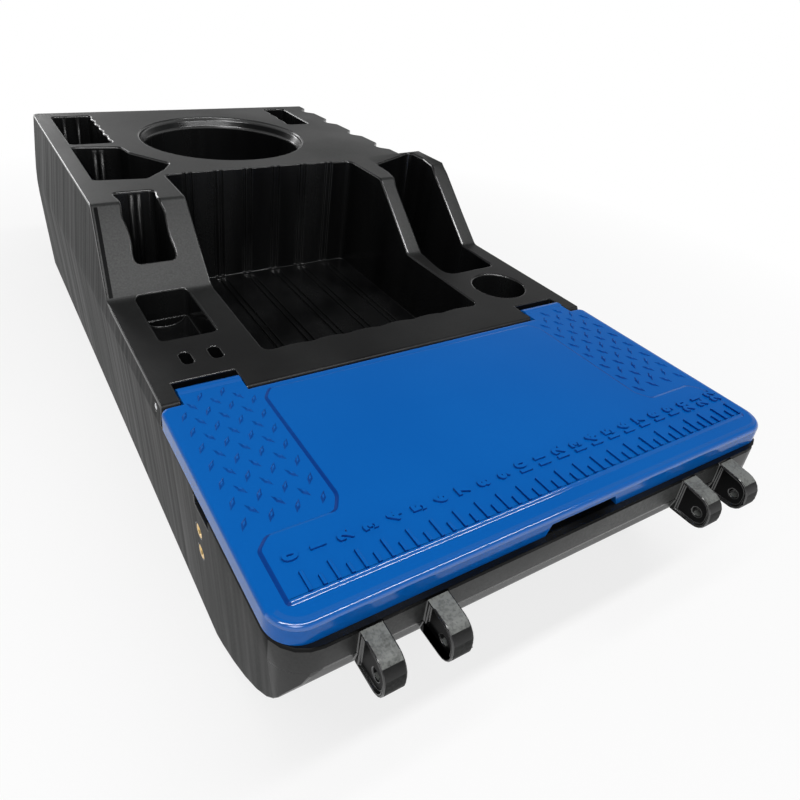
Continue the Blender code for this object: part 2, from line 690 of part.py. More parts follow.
add_pocket("cargo_well", well_outline(), WELL_FLOOR_Z,
           scalloped_pocket(WELL_LEFT_X, WELL_RIGHT_X, WELL_FRONT_Y, WELL_REAR_Y + GROOVE_DEPTH),
           WALL + GROOVE_DEPTH)

# Half-round step in the tray's floor

step_radius = (tray_right - tray_left) / 2 - POCKET_DRAFT
step_back = tray_back - POCKET_DRAFT - TRAY_STEP_LEDGE
step_centre = Vector(((tray_left + tray_right) / 2, step_back + TRAY_STEP_BEHIND))
step_start = 180 + math.degrees(math.asin(TRAY_STEP_BEHIND / step_radius))
tray_step = arc(step_centre, step_radius, step_start, 540 - step_start, TRAY_STEP_SIDES)
tray_step_wall = arc(step_centre, step_radius + WALL, 180, 360, TRAY_STEP_SIDES)
hollow("tray_step", prism(tray_step, TRAY_STEP_Z, TRAY_FLOOR_Z + WALL),
       prism(tray_step_wall, TRAY_STEP_Z - WALL, 0.0))

# Grooves in the cargo well's floor

floor_grooves = []
for middle in well_grooves[1:]:
    for centre in (middle - WELL_GROOVE_SPREAD / 2, middle + WELL_GROOVE_SPREAD / 2):
        floor_grooves.append(box(
            (centre - GROOVE_WIDTH / 2, WELL_FRONT_Y + GROOVE_END, WELL_FLOOR_Z - GROOVE_DEPTH),
            (centre + GROOVE_WIDTH / 2, WELL_REAR_Y - GROOVE_END, WELL_FLOOR_Z + GROOVE_DEPTH)))
combine(hull, cutter("well_floor_grooves", merged(floor_grooves)))

# Bucket well and cup holder


def add_round_well(name, centre, profile, segments):
    """Sink a round well; its wall is the same profile, moved out by the hull's wall."""
    wall = [(radius + WALL if radius else 0.0, place - WALL) for radius, place in profile]
    hollow(name, turned(profile, segments=segments), turned(wall, segments=segments), Vector((*centre, 0.0)))


bucket_ledge_radius = BUCKET_RADIUS - BUCKET_LEDGE_WIDTH
bucket_floor_radius = bucket_ledge_radius - BUCKET_TAPER
add_round_well("bucket_well", (0.0, BUCKET_Y), [
    (0.0, BUCKET_FLOOR_Z), (bucket_floor_radius, BUCKET_FLOOR_Z),
    (bucket_ledge_radius, DECK_Z - BUCKET_LEDGE_DEPTH), (BUCKET_RADIUS, DECK_Z - BUCKET_LIP),
    (BUCKET_RADIUS, ABOVE), (0.0, ABOVE)], 56)
add_round_well("cup_holder", (CUP_X, CUP_Y), [
    (0.0, CUP_FLOOR_Z), (CUP_RADIUS - CUP_TAPER, CUP_FLOOR_Z), (CUP_RADIUS, 0.0),
    (CUP_RADIUS, ABOVE), (0.0, ABOVE)], 32)

# Front compartment under the lid

compartment = [
    (COMPARTMENT_FRONT_Y + COMPARTMENT_TOE, COMPARTMENT_FLOOR_Z, COMPARTMENT_RADIUS),
    (COMPARTMENT_REAR_Y, COMPARTMENT_FLOOR_Z, COMPARTMENT_RADIUS),
    (COMPARTMENT_REAR_Y, MARGIN),
    (COMPARTMENT_FRONT_Y, MARGIN),
    (COMPARTMENT_FRONT_Y, COMPARTMENT_KNEE_Z, COMPARTMENT_RADIUS),
]
compartment_wall = COMPARTMENT_HALF_WIDTH + WALL
hollow("front_compartment",
       prism(rounded(compartment), -COMPARTMENT_HALF_WIDTH, COMPARTMENT_HALF_WIDTH, ON_SIDE),
       prism(rounded(grown(compartment, WALL)), -compartment_wall, compartment_wall, ON_SIDE))

# Fluted side of the upper deck


def flute_edge_x(y):
    """The right-hand deck edge, which runs in a little towards the rear."""
    share = (y - FLUTE_START_Y) / (REAR_Y - FLUTE_START_Y)
    return FLUTE_FRONT_X + (FLUTE_REAR_X - FLUTE_FRONT_X) * share


def flute_outline():
    """Plan of what is left out on the right-hand side of the upper deck."""
    outside = HALF_WIDTH + MARGIN
    points = [(outside, REAR_Y + MARGIN), (outside, FLUTE_START_Y),
              (flute_edge_x(FLUTE_START_Y), FLUTE_START_Y)]
    start = FLUTE_START_Y + FLUTE_FIRST
    while start + FLUTE_LENGTH < REAR_Y - MARGIN:
        for along, depth in FLUTE_WAVE:
            y = start + FLUTE_LENGTH * along
            points.append((flute_edge_x(y) - FLUTE_DEPTH * depth, y))
        start += FLUTE_PITCH
    points.append((flute_edge_x(REAR_Y), REAR_Y + MARGIN))
    return points


hollow("deck_flutes", prism(flute_outline(), FLUTE_FOOT_Z, ABOVE + MARGIN),
       box((FLUTE_REAR_X - FLUTE_DEPTH - WALL, FLUTE_START_Y - WALL, FLUTE_FOOT_Z - WALL),
           (HALF_WIDTH + MARGIN, REAR_Y + MARGIN, ABOVE)))

# Hinge: a solid beam, a notch for each of the lid's tabs, and the pins' bores

combine(cavity, cutter("hinge_beam_wall", box((-HALF_WIDTH, HINGE_BEAM_FRONT_Y, HINGE_BEAM_BOTTOM_Z),
                                              (HALF_WIDTH, HINGE_BEAM_REAR_Y, MARGIN))))
tab_spans = {
    -1: (-CHEEK_INNER_X, LEFT_TAB_WIDTH - CHEEK_INNER_X),
    1: (CHEEK_INNER_X - RIGHT_TAB_WIDTH, CHEEK_INNER_X),
}
for side, (left, right) in tab_spans.items():
    combine(hull, cutter(f"hinge_notch_{side}", box((left, HINGE_NOTCH_FRONT_Y, HINGE_NOTCH_FLOOR_Z),
                                                    (right, HINGE_NOTCH_REAR_Y, MARGIN))))


def pin_profile(radius, start, length, side):
    """Turned profile of a pin or bore that runs inwards from a side wall."""
    return [(0.0, -side * start), (radius, -side * start), (radius, -side * length), (0.0, -side * length)]


hinge_line = Vector((0.0, HINGE_Y, HINGE_Z))
pin_names = {-1: "hinge_pin_left", 1: "hinge_pin_right"}
pin_bores = {}
for side, name in pin_names.items():
    place = hinge_line + Vector((side_x(HINGE_Z, side), 0.0, 0.0))
    pin_bores[side] = cutter(name + "_bore", turned(
        pin_profile(PIN_RADIUS + PIN_CLEARANCE, -MARGIN, PIN_LENGTH + PIN_CLEARANCE, side), "X", 20), place)
    combine(hull, pin_bores[side])
    pin = turned([(0.0, 0.0), (PIN_RADIUS - PIN_CHAMFER, 0.0), (PIN_RADIUS, -side * PIN_CHAMFER),
                  (PIN_RADIUS, -side * PIN_LENGTH), (0.0, -side * PIN_LENGTH)], "X", 20)
    add_object(name, pin, parts, steel, place)

# Notches in the top of the side walls, and brass inserts in solid bosses

notch_rear_y = NOTCH_FRONT_Y + NOTCH_LENGTH
for side in (-1, 1):
    outer = side * (HALF_WIDTH + MARGIN)
    inner = side * (HALF_WIDTH - NOTCH_DEPTH)
    wall_inner = inner - side * WALL
    hollow(f"side_notch_{side}",
           box((min(outer, inner), NOTCH_FRONT_Y, NOTCH_FLOOR_Z), (max(outer, inner), notch_rear_y, MARGIN)),
           box((min(outer, wall_inner), NOTCH_FRONT_Y - WALL, NOTCH_FLOOR_Z - WALL),
               (max(outer, wall_inner), notch_rear_y + WALL, MARGIN)))

side_names = {-1: "left", 1: "right"}
boss_reach = HALF_WIDTH - COMPARTMENT_HALF_WIDTH
for side, side_name in side_names.items():
    for level, (y, z) in INSERT_PLACES.items():
        name = f"insert_{side_name}_{level}"
        place = Vector((side_x(z, side) - side * INSERT_SET_IN, y, z))
        flange_hole = INSERT_FLANGE_RADIUS + GAP
        shank_hole = INSERT_SHANK_RADIUS + GAP
        seat = [(0.0, side * MARGIN), (flange_hole, side * MARGIN),
                (flange_hole, -side * (INSERT_FLANGE + GAP)),
                (shank_hole, -side * (INSERT_FLANGE + GAP)), (shank_hole, -side * (INSERT_LENGTH + GAP)),
                (0.0, -side * (INSERT_LENGTH + GAP))]
        combine(hull, cutter(name + "_seat", turned(seat, "X", 24), place))
        boss = [(0.0, side * MARGIN), (INSERT_BOSS_RADIUS, side * MARGIN),
                (INSERT_BOSS_RADIUS, -side * boss_reach), (0.0, -side * boss_reach)]
        combine(cavity, cutter(name + "_boss_wall", turned(boss, "X", 16), place))
        insert = [(0.0, -side * INSERT_THREAD_DEPTH), (INSERT_THREAD_RADIUS, -side * INSERT_THREAD_DEPTH),
                  (INSERT_THREAD_RADIUS, 0.0), (INSERT_FLANGE_RADIUS, 0.0),
                  (INSERT_FLANGE_RADIUS, -side * INSERT_FLANGE), (INSERT_SHANK_RADIUS, -side * INSERT_FLANGE),
                  (INSERT_SHANK_RADIUS, -side * INSERT_LENGTH), (0.0, -side * INSERT_LENGTH)]
        add_object(name, turned(insert, "X", 24), parts, brass, place)

# Vent plug in a recess low in the rear wall

plug_wall_y = REAR_Y + (REAR_BOTTOM_Y - REAR_Y) * (PARTING_Z - PLUG_Z) / (PARTING_Z - BOTTOM_Z)
plug_seat = Vector((PLUG_X, plug_wall_y - PLUG_RECESS_DEPTH, PLUG_Z))
plug_bore = PLUG_SHANK_RADIUS + GAP
recess = [(0.0, -PLUG_LENGTH - GAP), (plug_bore, -PLUG_LENGTH - GAP), (plug_bore, 0.0),
          (PLUG_RECESS_RADIUS, 0.0), (PLUG_RECESS_RADIUS, MARGIN), (0.0, MARGIN)]
recess_wall_radius = PLUG_RECESS_RADIUS + WALL
recess_wall = [(0.0, -WALL), (recess_wall_radius, -WALL), (recess_wall_radius, MARGIN), (0.0, MARGIN)]
hollow("plug_recess", turned(recess, "Y", 24), turned(recess_wall, "Y", 32), plug_seat)
plug = add_object("vent_plug", turned([
    (0.0, -PLUG_LENGTH), (PLUG_SHANK_RADIUS, -PLUG_LENGTH), (PLUG_SHANK_RADIUS, GAP), (PLUG_HEAD_RADIUS, GAP),
    (PLUG_HEAD_RADIUS, PLUG_HEAD), (0.0, PLUG_HEAD)], "Y", 24), parts, black_plastic, plug_seat)
plug_slot_y = plug_seat.y + PLUG_HEAD - PLUG_SLOT_DEPTH
combine(plug, cutter("plug_slot", box(
    (PLUG_X - PLUG_HEAD_RADIUS - GAP, plug_slot_y, PLUG_Z - PLUG_SLOT_WIDTH / 2),
    (PLUG_X + PLUG_HEAD_RADIUS + GAP, plug_slot_y + PLUG_HEAD, PLUG_Z + PLUG_SLOT_WIDTH / 2))))

# The hollow itself is cut last

combine(hull, cavity)

# Lid: a plate with a skirt, two hinge tabs and a handhold in its front skirt

lid_corners = [
    (-HALF_WIDTH, LID_FRONT_Y, LID_CORNER_RADIUS), (HALF_WIDTH, LID_FRONT_Y, LID_CORNER_RADIUS),
    (HALF_WIDTH, LID_REAR_Y, LID_REAR_CORNER_RADIUS), (-HALF_WIDTH, LID_REAR_Y, LID_REAR_CORNER_RADIUS),
]
skirt_bottom_z = LEDGE_Z + GAP
plate_bottom_z = LID_TOP_Z - LID_PLATE
lid = add_object("lid", prism(rounded(lid_corners, 6), skirt_bottom_z, LID_TOP_Z, high_draft=LID_DRAFT),
                 parts, blue_plastic)
lid_inside = prism(rounded(grown(lid_corners, -LID_SKIRT), 6), skirt_bottom_z - GAP, plate_bottom_z,
                   high_draft=LID_DRAFT)
combine(lid, cutter("lid_inside", lid_inside))
combine(lid, cutter("lid_front_step", box(
    (-HALF_WIDTH - MARGIN, LID_FRONT_Y - MARGIN, LID_TOP_Z - LID_STEP_DOWN),
    (HALF_WIDTH + MARGIN, LID_FRONT_Y + LID_STEP_BACK, LID_TOP_Z + MARGIN))))
handhold_top_z = skirt_bottom_z + HANDHOLD_RISE
handhold = [
    (HANDHOLD_LEFT_X, skirt_bottom_z - MARGIN), (HANDHOLD_RIGHT_X, skirt_bottom_z - MARGIN),
    (HANDHOLD_RIGHT_X, skirt_bottom_z), (HANDHOLD_RIGHT_X - HANDHOLD_RAMP, handhold_top_z),
    (HANDHOLD_LEFT_X + HANDHOLD_RAMP, handhold_top_z), (HANDHOLD_LEFT_X, skirt_bottom_z),
]
handhold_cut = prism(handhold, -LID_FRONT_Y - LID_SKIRT * 2, -LID_FRONT_Y + MARGIN, ON_FRONT)
combine(lid, cutter("lid_handhold", handhold_cut))

tab_root_y = LID_REAR_Y - LID_SKIRT / 2
tab = [
    (tab_root_y, skirt_bottom_z + GAP),
    *arc((HINGE_Y, HINGE_Z), KNUCKLE_RADIUS, -90, 90, 8),
    (tab_root_y, HINGE_Z + KNUCKLE_RADIUS),
]
lid_tabs = []
for left, right in tab_spans.values():
    lid_tabs.append(prism(tab, left + TAB_SIDE_GAP, right - TAB_SIDE_GAP, ON_SIDE))
combine(lid, cutter("lid_tabs", merged(lid_tabs)), "UNION")
for bore in pin_bores.values():
    combine(lid, bore)

# The lid turns about its pins, so its origin lies on their axis

lid.data.transform(Matrix.Translation(ORIGIN - hinge_line))
lid.location = hinge_line - ORIGIN

for target, tool, operation in boolean_steps:
    step = target.modifiers.new(tool.name, "BOOLEAN")
    step.operation = operation
    step.object = tool

for part in parts.objects:
    part.data.shade_smooth()
    part.data.set_sharp_from_angle(angle=math.radians(30))
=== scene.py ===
# %% [markdown]
# A utility sled in Blender
#
# The real object is one hollow black moulding with pockets, and a blue lid that swings up on two steel pins.
# The model that carries the sizes and the joint is already there, so this lesson only dresses it.
# Each cell adds one piece or one finish, and prints what it made, so the parts can be tried one at a time.

# %% Load the sized model
import json
import math

import bmesh
import bpy
from mathutils import Matrix, Vector


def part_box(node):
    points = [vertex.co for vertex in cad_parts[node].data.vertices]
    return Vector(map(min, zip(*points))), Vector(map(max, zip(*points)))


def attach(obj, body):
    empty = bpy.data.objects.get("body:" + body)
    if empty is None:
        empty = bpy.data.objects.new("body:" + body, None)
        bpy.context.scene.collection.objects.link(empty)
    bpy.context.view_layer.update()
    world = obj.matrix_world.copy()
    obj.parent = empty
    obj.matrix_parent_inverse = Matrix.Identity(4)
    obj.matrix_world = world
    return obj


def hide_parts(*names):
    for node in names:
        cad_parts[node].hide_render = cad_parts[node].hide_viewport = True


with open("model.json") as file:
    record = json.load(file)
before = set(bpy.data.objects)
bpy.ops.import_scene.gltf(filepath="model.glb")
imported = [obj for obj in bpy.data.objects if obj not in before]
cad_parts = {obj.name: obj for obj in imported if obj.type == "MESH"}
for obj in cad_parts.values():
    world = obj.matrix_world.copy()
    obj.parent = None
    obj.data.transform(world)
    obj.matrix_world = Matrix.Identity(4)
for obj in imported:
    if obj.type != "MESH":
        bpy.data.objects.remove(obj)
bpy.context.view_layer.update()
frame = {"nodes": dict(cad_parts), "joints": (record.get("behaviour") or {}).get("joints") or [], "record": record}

print("nodes:", sorted(frame["nodes"]))

# %% [markdown]
# The places of the pieces
#
# Everything new has to line up with the sized model, so the boxes of its nodes give the main places.
# Stations run along Y from the bow (low) to the rear (high). The lid's rear edge is where its hinge tabs
# leave it, and the lower deck is level with the lid's top, less a hair.

# %% Read the main places
HULL_LOW, HULL_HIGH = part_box("hull")
LID_LOW, LID_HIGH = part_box("lid")
HINGE = Vector(frame["joints"][0]["pos_m"])
KNUCKLE_RADIUS = LID_HIGH.y - HINGE.y
LID_TOP_Z = LID_HIGH.z
LID_GAP_BEHIND = 0.0015
NOSE_RADIUS = 0.019
LID_REAR_Y = HINGE.y - NOSE_RADIUS - LID_GAP_BEHIND
LOWER_DECK_Z = HINGE.z + 0.012
SKIRT_BOTTOM_Z = LOWER_DECK_Z - 0.0217
UPPER_DECK_Z = LOWER_DECK_Z + 0.095
SLOPE_FOOT_Y = HINGE.y + 0.228
SLOPE_TOP_Y = SLOPE_FOOT_Y + 0.107
WELL_REAR_Y = HINGE.y + 0.439
BUCKET_CENTRE = Vector((0.0, WELL_REAR_Y + 0.1965))
BUCKET_RADIUS = 0.150
OPENINGS = {space["name"]: space["box_m"] for space in frame["record"]["physics"]["openings"]}


def deck_height(y):
    """The height of the deck at a station."""
    share = (y - SLOPE_FOOT_Y) / (SLOPE_TOP_Y - SLOPE_FOOT_Y)
    return LOWER_DECK_Z + (UPPER_DECK_Z - LOWER_DECK_Z) * min(max(share, 0.0), 1.0)


print("hinge line at", tuple(round(value, 4) for value in HINGE), "knuckle radius", round(KNUCKLE_RADIUS, 4))
print("decks at", round(LOWER_DECK_Z, 3), "and", round(UPPER_DECK_Z, 3), "with", len(OPENINGS), "openings")

# %% [markdown]
# From a shape to a piece
#
# A bmesh is Blender's workbench for shapes: it is filled, worked on and then turned into a mesh, which an
# object shows. Every piece of this lesson goes that way, so the last two steps are written once.

# %% Piece helpers
def mesh_of(shape, name):
    """Make a mesh of a bmesh and free it."""
    mesh = bpy.data.meshes.new(name)
    shape.to_mesh(mesh)
    shape.free()
    return mesh


def piece_of(shape, name, *finishes):
    """An object in the scene that shows a bmesh, with these finishes in its slots."""
    mesh = mesh_of(shape, name)
    for finish in finishes:
        mesh.materials.append(finish)
    made = bpy.data.objects.new(name, mesh)
    bpy.context.scene.collection.objects.link(made)
    return made


def darken_flanks(piece, steepest):
    """Paint shade on the flanks of a piece: its faces that stand steeper than a slope get its second finish."""
    for face in piece.data.polygons:
        if face.normal.z < steepest:
            face.material_index = 1


# %% [markdown]
# The camera
#
# A product photograph is usually taken from the front corner, a little above the object, with a short lens
# that makes the near end look big. The camera is placed by its direction (azimuth and elevation), a slight
# roll and its place, and the shift slides the frame without turning the view.

# %% Camera
CAMERA_PLACE = Vector((-0.4504, -0.8479, 0.6745))
CAMERA_AZIMUTH = math.radians(-33.61)
CAMERA_ELEVATION = math.radians(29.30)
CAMERA_ROLL = math.radians(6.13)
backwards = Vector((
    math.sin(CAMERA_AZIMUTH) * math.cos(CAMERA_ELEVATION),
    -math.cos(CAMERA_AZIMUTH) * math.cos(CAMERA_ELEVATION),
    math.sin(CAMERA_ELEVATION),
))
camera_data = bpy.data.cameras.new("camera")
camera_data.lens = 30.42
camera_data.sensor_width = 36.0
camera_data.shift_x = 0.0435
camera_data.shift_y = -0.0955
camera = bpy.data.objects.new("camera", camera_data)
turn = (-backwards).to_track_quat("-Z", "Y").to_matrix().to_4x4()
camera.matrix_world = Matrix.Translation(CAMERA_PLACE) @ turn @ Matrix.Rotation(CAMERA_ROLL, 4, "Z")
bpy.context.scene.collection.objects.link(camera)
bpy.context.scene.camera = camera
print("camera", round((CAMERA_PLACE - HINGE).length, 3), "m from the hinge")

# %% [markdown]
# Nodes in few words
#
# A finish, the sky and the floor are all small networks of nodes. Five helpers keep them short: they open a
# network, stretch a value from one range to another, do a step of arithmetic, tell which rays come from a
# mirror or through glass, and mix two shaders. Mirror rays have to see the same white backdrop as the camera.

# %% Node helpers
def shader_nodes(owner):
    """The nodes and links of a material or a world."""
    owner.use_nodes = True
    return owner.node_tree.nodes, owner.node_tree.links


def spread(nodes, links, value, source, target):
    """Stretch a value from one range to another, held at the ends."""
    made = nodes.new("ShaderNodeMapRange")
    made.inputs["From Min"].default_value, made.inputs["From Max"].default_value = source
    made.inputs["To Min"].default_value, made.inputs["To Max"].default_value = target
    links.new(value, made.inputs["Value"])
    return made.outputs["Result"]


def joined(nodes, links, operation, *values, held=False):
    """Values put together by one step of arithmetic; a held one stays between 0 and 1."""
    made = nodes.new("ShaderNodeMath")
    made.operation = operation
    made.use_clamp = held
    for value, socket in zip(values, made.inputs):
        links.new(value, socket)
    return made.outputs["Value"]


def mirror_rays(nodes, links):
    """Camera rays, and 1 for the rays that a shiny or a clear surface sends on."""
    path = nodes.new("ShaderNodeLightPath")
    rays = (path.outputs["Is Glossy Ray"], path.outputs["Is Transmission Ray"])
    return path.outputs["Is Camera Ray"], joined(nodes, links, "ADD", *rays, held=True)


def chosen(nodes, links, share, first, second):
    """A mix of two shaders: the first at 0, the second at 1."""
    made = nodes.new("ShaderNodeMixShader")
    links.new(share, made.inputs["Fac"])
    links.new(first, made.inputs[1])
    links.new(second, made.inputs[2])
    return made.outputs["Shader"]


print("node helpers ready")

# %% [markdown]
# Floor, sky and lamps
#
# Black plastic has almost no colour of its own: what one sees on it are soft reflections of bright
# surroundings. The sky is bright near the horizon and dim overhead, as in a studio with a dark ceiling, so
# upright walls shine and flat decks stay dark. A long narrow lamp overhead draws a thin bright line along the
# rounded edges. The floor is matt white, and for the camera it fades into the white backdrop with distance.

# %% Sky
WHITE = (1.0, 1.0, 1.0, 1.0)
SKY_LOW = 0.80
SKY_HIGH = 0.15
SKY_TOP = 0.55
BACKDROP_TOP = 0.30


def make_sky():
    """A sky that dims with height. The camera sees it plain white, and mirror rays see its low part white."""
    sky = bpy.data.worlds.new("sky")
    nodes, links = shader_nodes(sky)
    lit = nodes["Background"]
    lit.inputs["Color"].default_value = WHITE
    split = nodes.new("ShaderNodeSeparateXYZ")
    links.new(nodes.new("ShaderNodeTexCoord").outputs["Generated"], split.inputs["Vector"])
    height = split.outputs["Z"]
    links.new(spread(nodes, links, height, (0.0, SKY_TOP), (SKY_LOW, SKY_HIGH)), lit.inputs["Strength"])
    seen = nodes.new("ShaderNodeBackground")
    seen.inputs["Color"].default_value = WHITE
    camera_rays, mirrored = mirror_rays(nodes, links)
    backdrop = spread(nodes, links, height, (0.0, BACKDROP_TOP), (1.0, 0.0))
    mirrored_backdrop = joined(nodes, links, "MULTIPLY", mirrored, backdrop, held=True)
    shows_white = joined(nodes, links, "ADD", camera_rays, mirrored_backdrop, held=True)
    whole = chosen(nodes, links, shows_white, lit.outputs["Background"], seen.outputs["Background"])
    links.new(whole, nodes["World Output"].inputs["Surface"])
    bpy.context.scene.world = sky
    print("sky from", SKY_LOW, "at the horizon to", SKY_HIGH, "overhead")


make_sky()

# %% Floor
FLOOR_SIZE = 30.0
FLOOR_WHITE = (0.90, 0.90, 0.90, 1.0)
FLOOR_ROUGHNESS = 0.9
FLOOR_SHINE = 0.1
FADE_REACH = (0.75, 1.5)
SHADOW_KEPT = 0.22


def make_floor_paint():
    """Matt white that gives way to plain light with distance, for the camera and in mirrors."""
    paint = bpy.data.materials.new("floor_paint")
    nodes, links = shader_nodes(paint)
    lit = nodes["Principled BSDF"]
    lit.inputs["Base Color"].default_value = FLOOR_WHITE
    lit.inputs["Roughness"].default_value = FLOOR_ROUGHNESS
    lit.inputs["Specular IOR Level"].default_value = FLOOR_SHINE
    plain = nodes.new("ShaderNodeEmission")
    distance = nodes.new("ShaderNodeVectorMath")
    distance.operation = "LENGTH"
    links.new(nodes.new("ShaderNodeTexCoord").outputs["Object"], distance.inputs[0])
    far = spread(nodes, links, distance.outputs["Value"], FADE_REACH, (1.0 - SHADOW_KEPT, 1.0))
    camera_rays, mirrored = mirror_rays(nodes, links)
    seen = joined(nodes, links, "ADD", camera_rays, mirrored, held=True)
    share = joined(nodes, links, "MULTIPLY", seen, far, held=True)
    whole = chosen(nodes, links, share, lit.outputs["BSDF"], plain.outputs["Emission"])
    links.new(whole, nodes["Material Output"].inputs["Surface"])
    return paint


def make_floor():
    """A white floor that keeps the shadow near the object and is white farther off."""
    shape = bmesh.new()
    bmesh.ops.create_grid(shape, x_segments=1, y_segments=1, size=FLOOR_SIZE / 2)
    floor = piece_of(shape, "floor", make_floor_paint())
    print("floor", FLOOR_SIZE, "m wide")


make_floor()

# %% Lamps
LAMPS = {
    "key_lamp": {"place": (-1.2, -2.2, 2.2), "size": (1.1, 1.1), "power": 19.0},
    "edge_lamp": {"place": (-0.1, -0.8, 2.1), "size": (3.4, 0.16), "power": 40.0},
    "back_lamp": {"place": (-0.9, 3.2, 0.8), "size": (2.6, 0.45), "power": 26.0},
}


def light_studio():
    """The lamps, each turned to the object, with its long side level."""
    along_sled = Vector((0.0, 1.0, 0.0))
    for name, lamp in LAMPS.items():
        data = bpy.data.lights.new(name, "AREA")
        data.shape = "RECTANGLE"
        data.size, data.size_y = lamp["size"]
        data.energy = lamp["power"]
        lamp_object = bpy.data.objects.new(name, data)
        place = Vector(lamp["place"])
        away = place.normalized()
        side = along_sled.cross(away).normalized()
        facing = Matrix((side, away.cross(side), away)).transposed().to_4x4()
        lamp_object.matrix_world = Matrix.Translation(place) @ facing
        bpy.context.scene.collection.objects.link(lamp_object)
    print("lamps:", ", ".join(LAMPS))


light_studio()
bpy.context.scene.view_settings.view_transform = "Standard"

# %% [markdown]
# Moulded plastic
#
# Rotomoulded polyethylene is never perfectly even. Broad faces wave a little, the skin has a fine grain, and
# a grey bloom lies on the decks, while deep pockets keep a wet gloss. One function makes all the plastic
# finishes, from a bloom that lightens the colour in clouds, a roughness that changes with the same clouds, and
# two sizes of bump. Every pattern reads Object coordinates, so it stays put when the piece turns.

# %% Plastic patterns
CLOUDS = {"scale": 5.0, "detail": 6.0}
SPECKLE = {"scale": 420.0, "detail": 2.0}
GRAIN = {"scale": 650.0, "detail": 3.0}
WAVES = {"scale": 11.0, "detail": 1.0}
BLOOM_CLOUDS = (0.40, 0.62)
ROUGH_CLOUDS = (0.35, 0.70)
SPECKLE_VALUES = (0.30, 0.70)
SPECKLE_SHARES = (0.60, 1.40)
SLOPE_HAZE_RISE = (SLOPE_FOOT_Y - 0.010, SLOPE_FOOT_Y + 0.012)
SLOPE_HAZE_FALL = (SLOPE_TOP_Y - 0.030, SLOPE_TOP_Y - 0.002)
UPPER_DECK_HAZE = 0.85
PLASTIC_IOR = 1.5
EVEN = (1.0, 1.0, 1.0)


def noise(nodes, links, vector, name, scale, detail):
    """A noise texture on a vector, and its value."""
    made = nodes.new("ShaderNodeTexNoise")
    made.name = name
    made.inputs["Scale"].default_value = scale
    made.inputs["Detail"].default_value = detail
    links.new(vector, made.inputs["Vector"])
    return made.outputs["Fac"]


def bump(nodes, links, height, distance, under=None):
    """A bump from a height, laid over the bump under it."""
    made = nodes.new("ShaderNodeBump")
    made.inputs["Strength"].default_value = 1.0
    made.inputs["Distance"].default_value = distance
    links.new(height, made.inputs["Height"])
    if under:
        links.new(under, made.inputs["Normal"])
    return made.outputs["Normal"]


def with_slope_haze(nodes, links, place, share, haze):
    """Add bloom to the share from the foot of the sloping arms on, and a little less of it past their top."""
    split = nodes.new("ShaderNodeSeparateXYZ")
    links.new(place, split.inputs["Vector"])
    rise = spread(nodes, links, split.outputs["Y"], SLOPE_HAZE_RISE, (0.0, haze))
    fall = spread(nodes, links, split.outputs["Y"], SLOPE_HAZE_FALL, (1.0, UPPER_DECK_HAZE))
    return joined(nodes, links, "MULTIPLY_ADD", rise, fall, share)


print("patterns: clouds, speckle, grain and waves")

# %% [markdown]
# How the patterns work together
#
# The share of bloom and the roughness are each given as their least and their most value, and grain and waves
# as heights in metres. A stretch pulls clouds and waves out, which makes streaks that run down a wall.

# %% Plastic
def plastic(name, colours, share, roughness, shine, grain=0.0, waves=0.0, stretch=EVEN, slope_haze=0.0):
    """Moulded plastic of a colour, with a bloom of a second colour."""
    made = bpy.data.materials.new(name)
    nodes, links = shader_nodes(made)
    shader = nodes["Principled BSDF"]
    shader.inputs["IOR"].default_value = PLASTIC_IOR
    shader.inputs["Specular IOR Level"].default_value = shine
    place = nodes.new("ShaderNodeTexCoord").outputs["Object"]
    mapping = nodes.new("ShaderNodeMapping")
    mapping.inputs["Scale"].default_value = stretch
    links.new(place, mapping.inputs["Vector"])
    stretched = mapping.outputs["Vector"]
    clouds = noise(nodes, links, stretched, "clouds", **CLOUDS)
    speckle = noise(nodes, links, place, "speckle", **SPECKLE)
    bloomed = spread(nodes, links, clouds, BLOOM_CLOUDS, share)
    if slope_haze:
        bloomed = with_slope_haze(nodes, links, place, bloomed, slope_haze)
    dust = spread(nodes, links, speckle, SPECKLE_VALUES, SPECKLE_SHARES)
    blend = nodes.new("ShaderNodeMix")
    blend.data_type = "RGBA"
    for socket, colour in zip(("A", "B"), colours):
        blend.inputs[socket].default_value = (*colour, 1.0)
    links.new(joined(nodes, links, "MULTIPLY", bloomed, dust), blend.inputs["Factor"])
    links.new(blend.outputs["Result"], shader.inputs["Base Color"])
    links.new(spread(nodes, links, clouds, ROUGH_CLOUDS, roughness), shader.inputs["Roughness"])
    fine = bump(nodes, links, noise(nodes, links, place, "grain", **GRAIN), grain)
    broad = bump(nodes, links, noise(nodes, links, stretched, "waves", **WAVES), waves, fine)
    links.new(broad, shader.inputs["Normal"])
    return made


BLACK = (0.0030, 0.0031, 0.0033)
BLOOM = (0.036, 0.037, 0.037)
HAZE = (0.085, 0.088, 0.086)
SCUFF_SHEEN_GREY = (0.15, 0.157, 0.15)
LID_BLUE = (0.0015, 0.096, 0.385)
LID_BLUE_WORN = (0.0020, 0.106, 0.410)
# A deeper blue, painted shade for the flanks of raised marks, lozenges and the panel's side shoulders.
LID_BLUE_PAINTED_SHADE = (0.0012, 0.030, 0.190)
print("bloom lightens the black by", round(BLOOM[0] / BLACK[0]), "times")
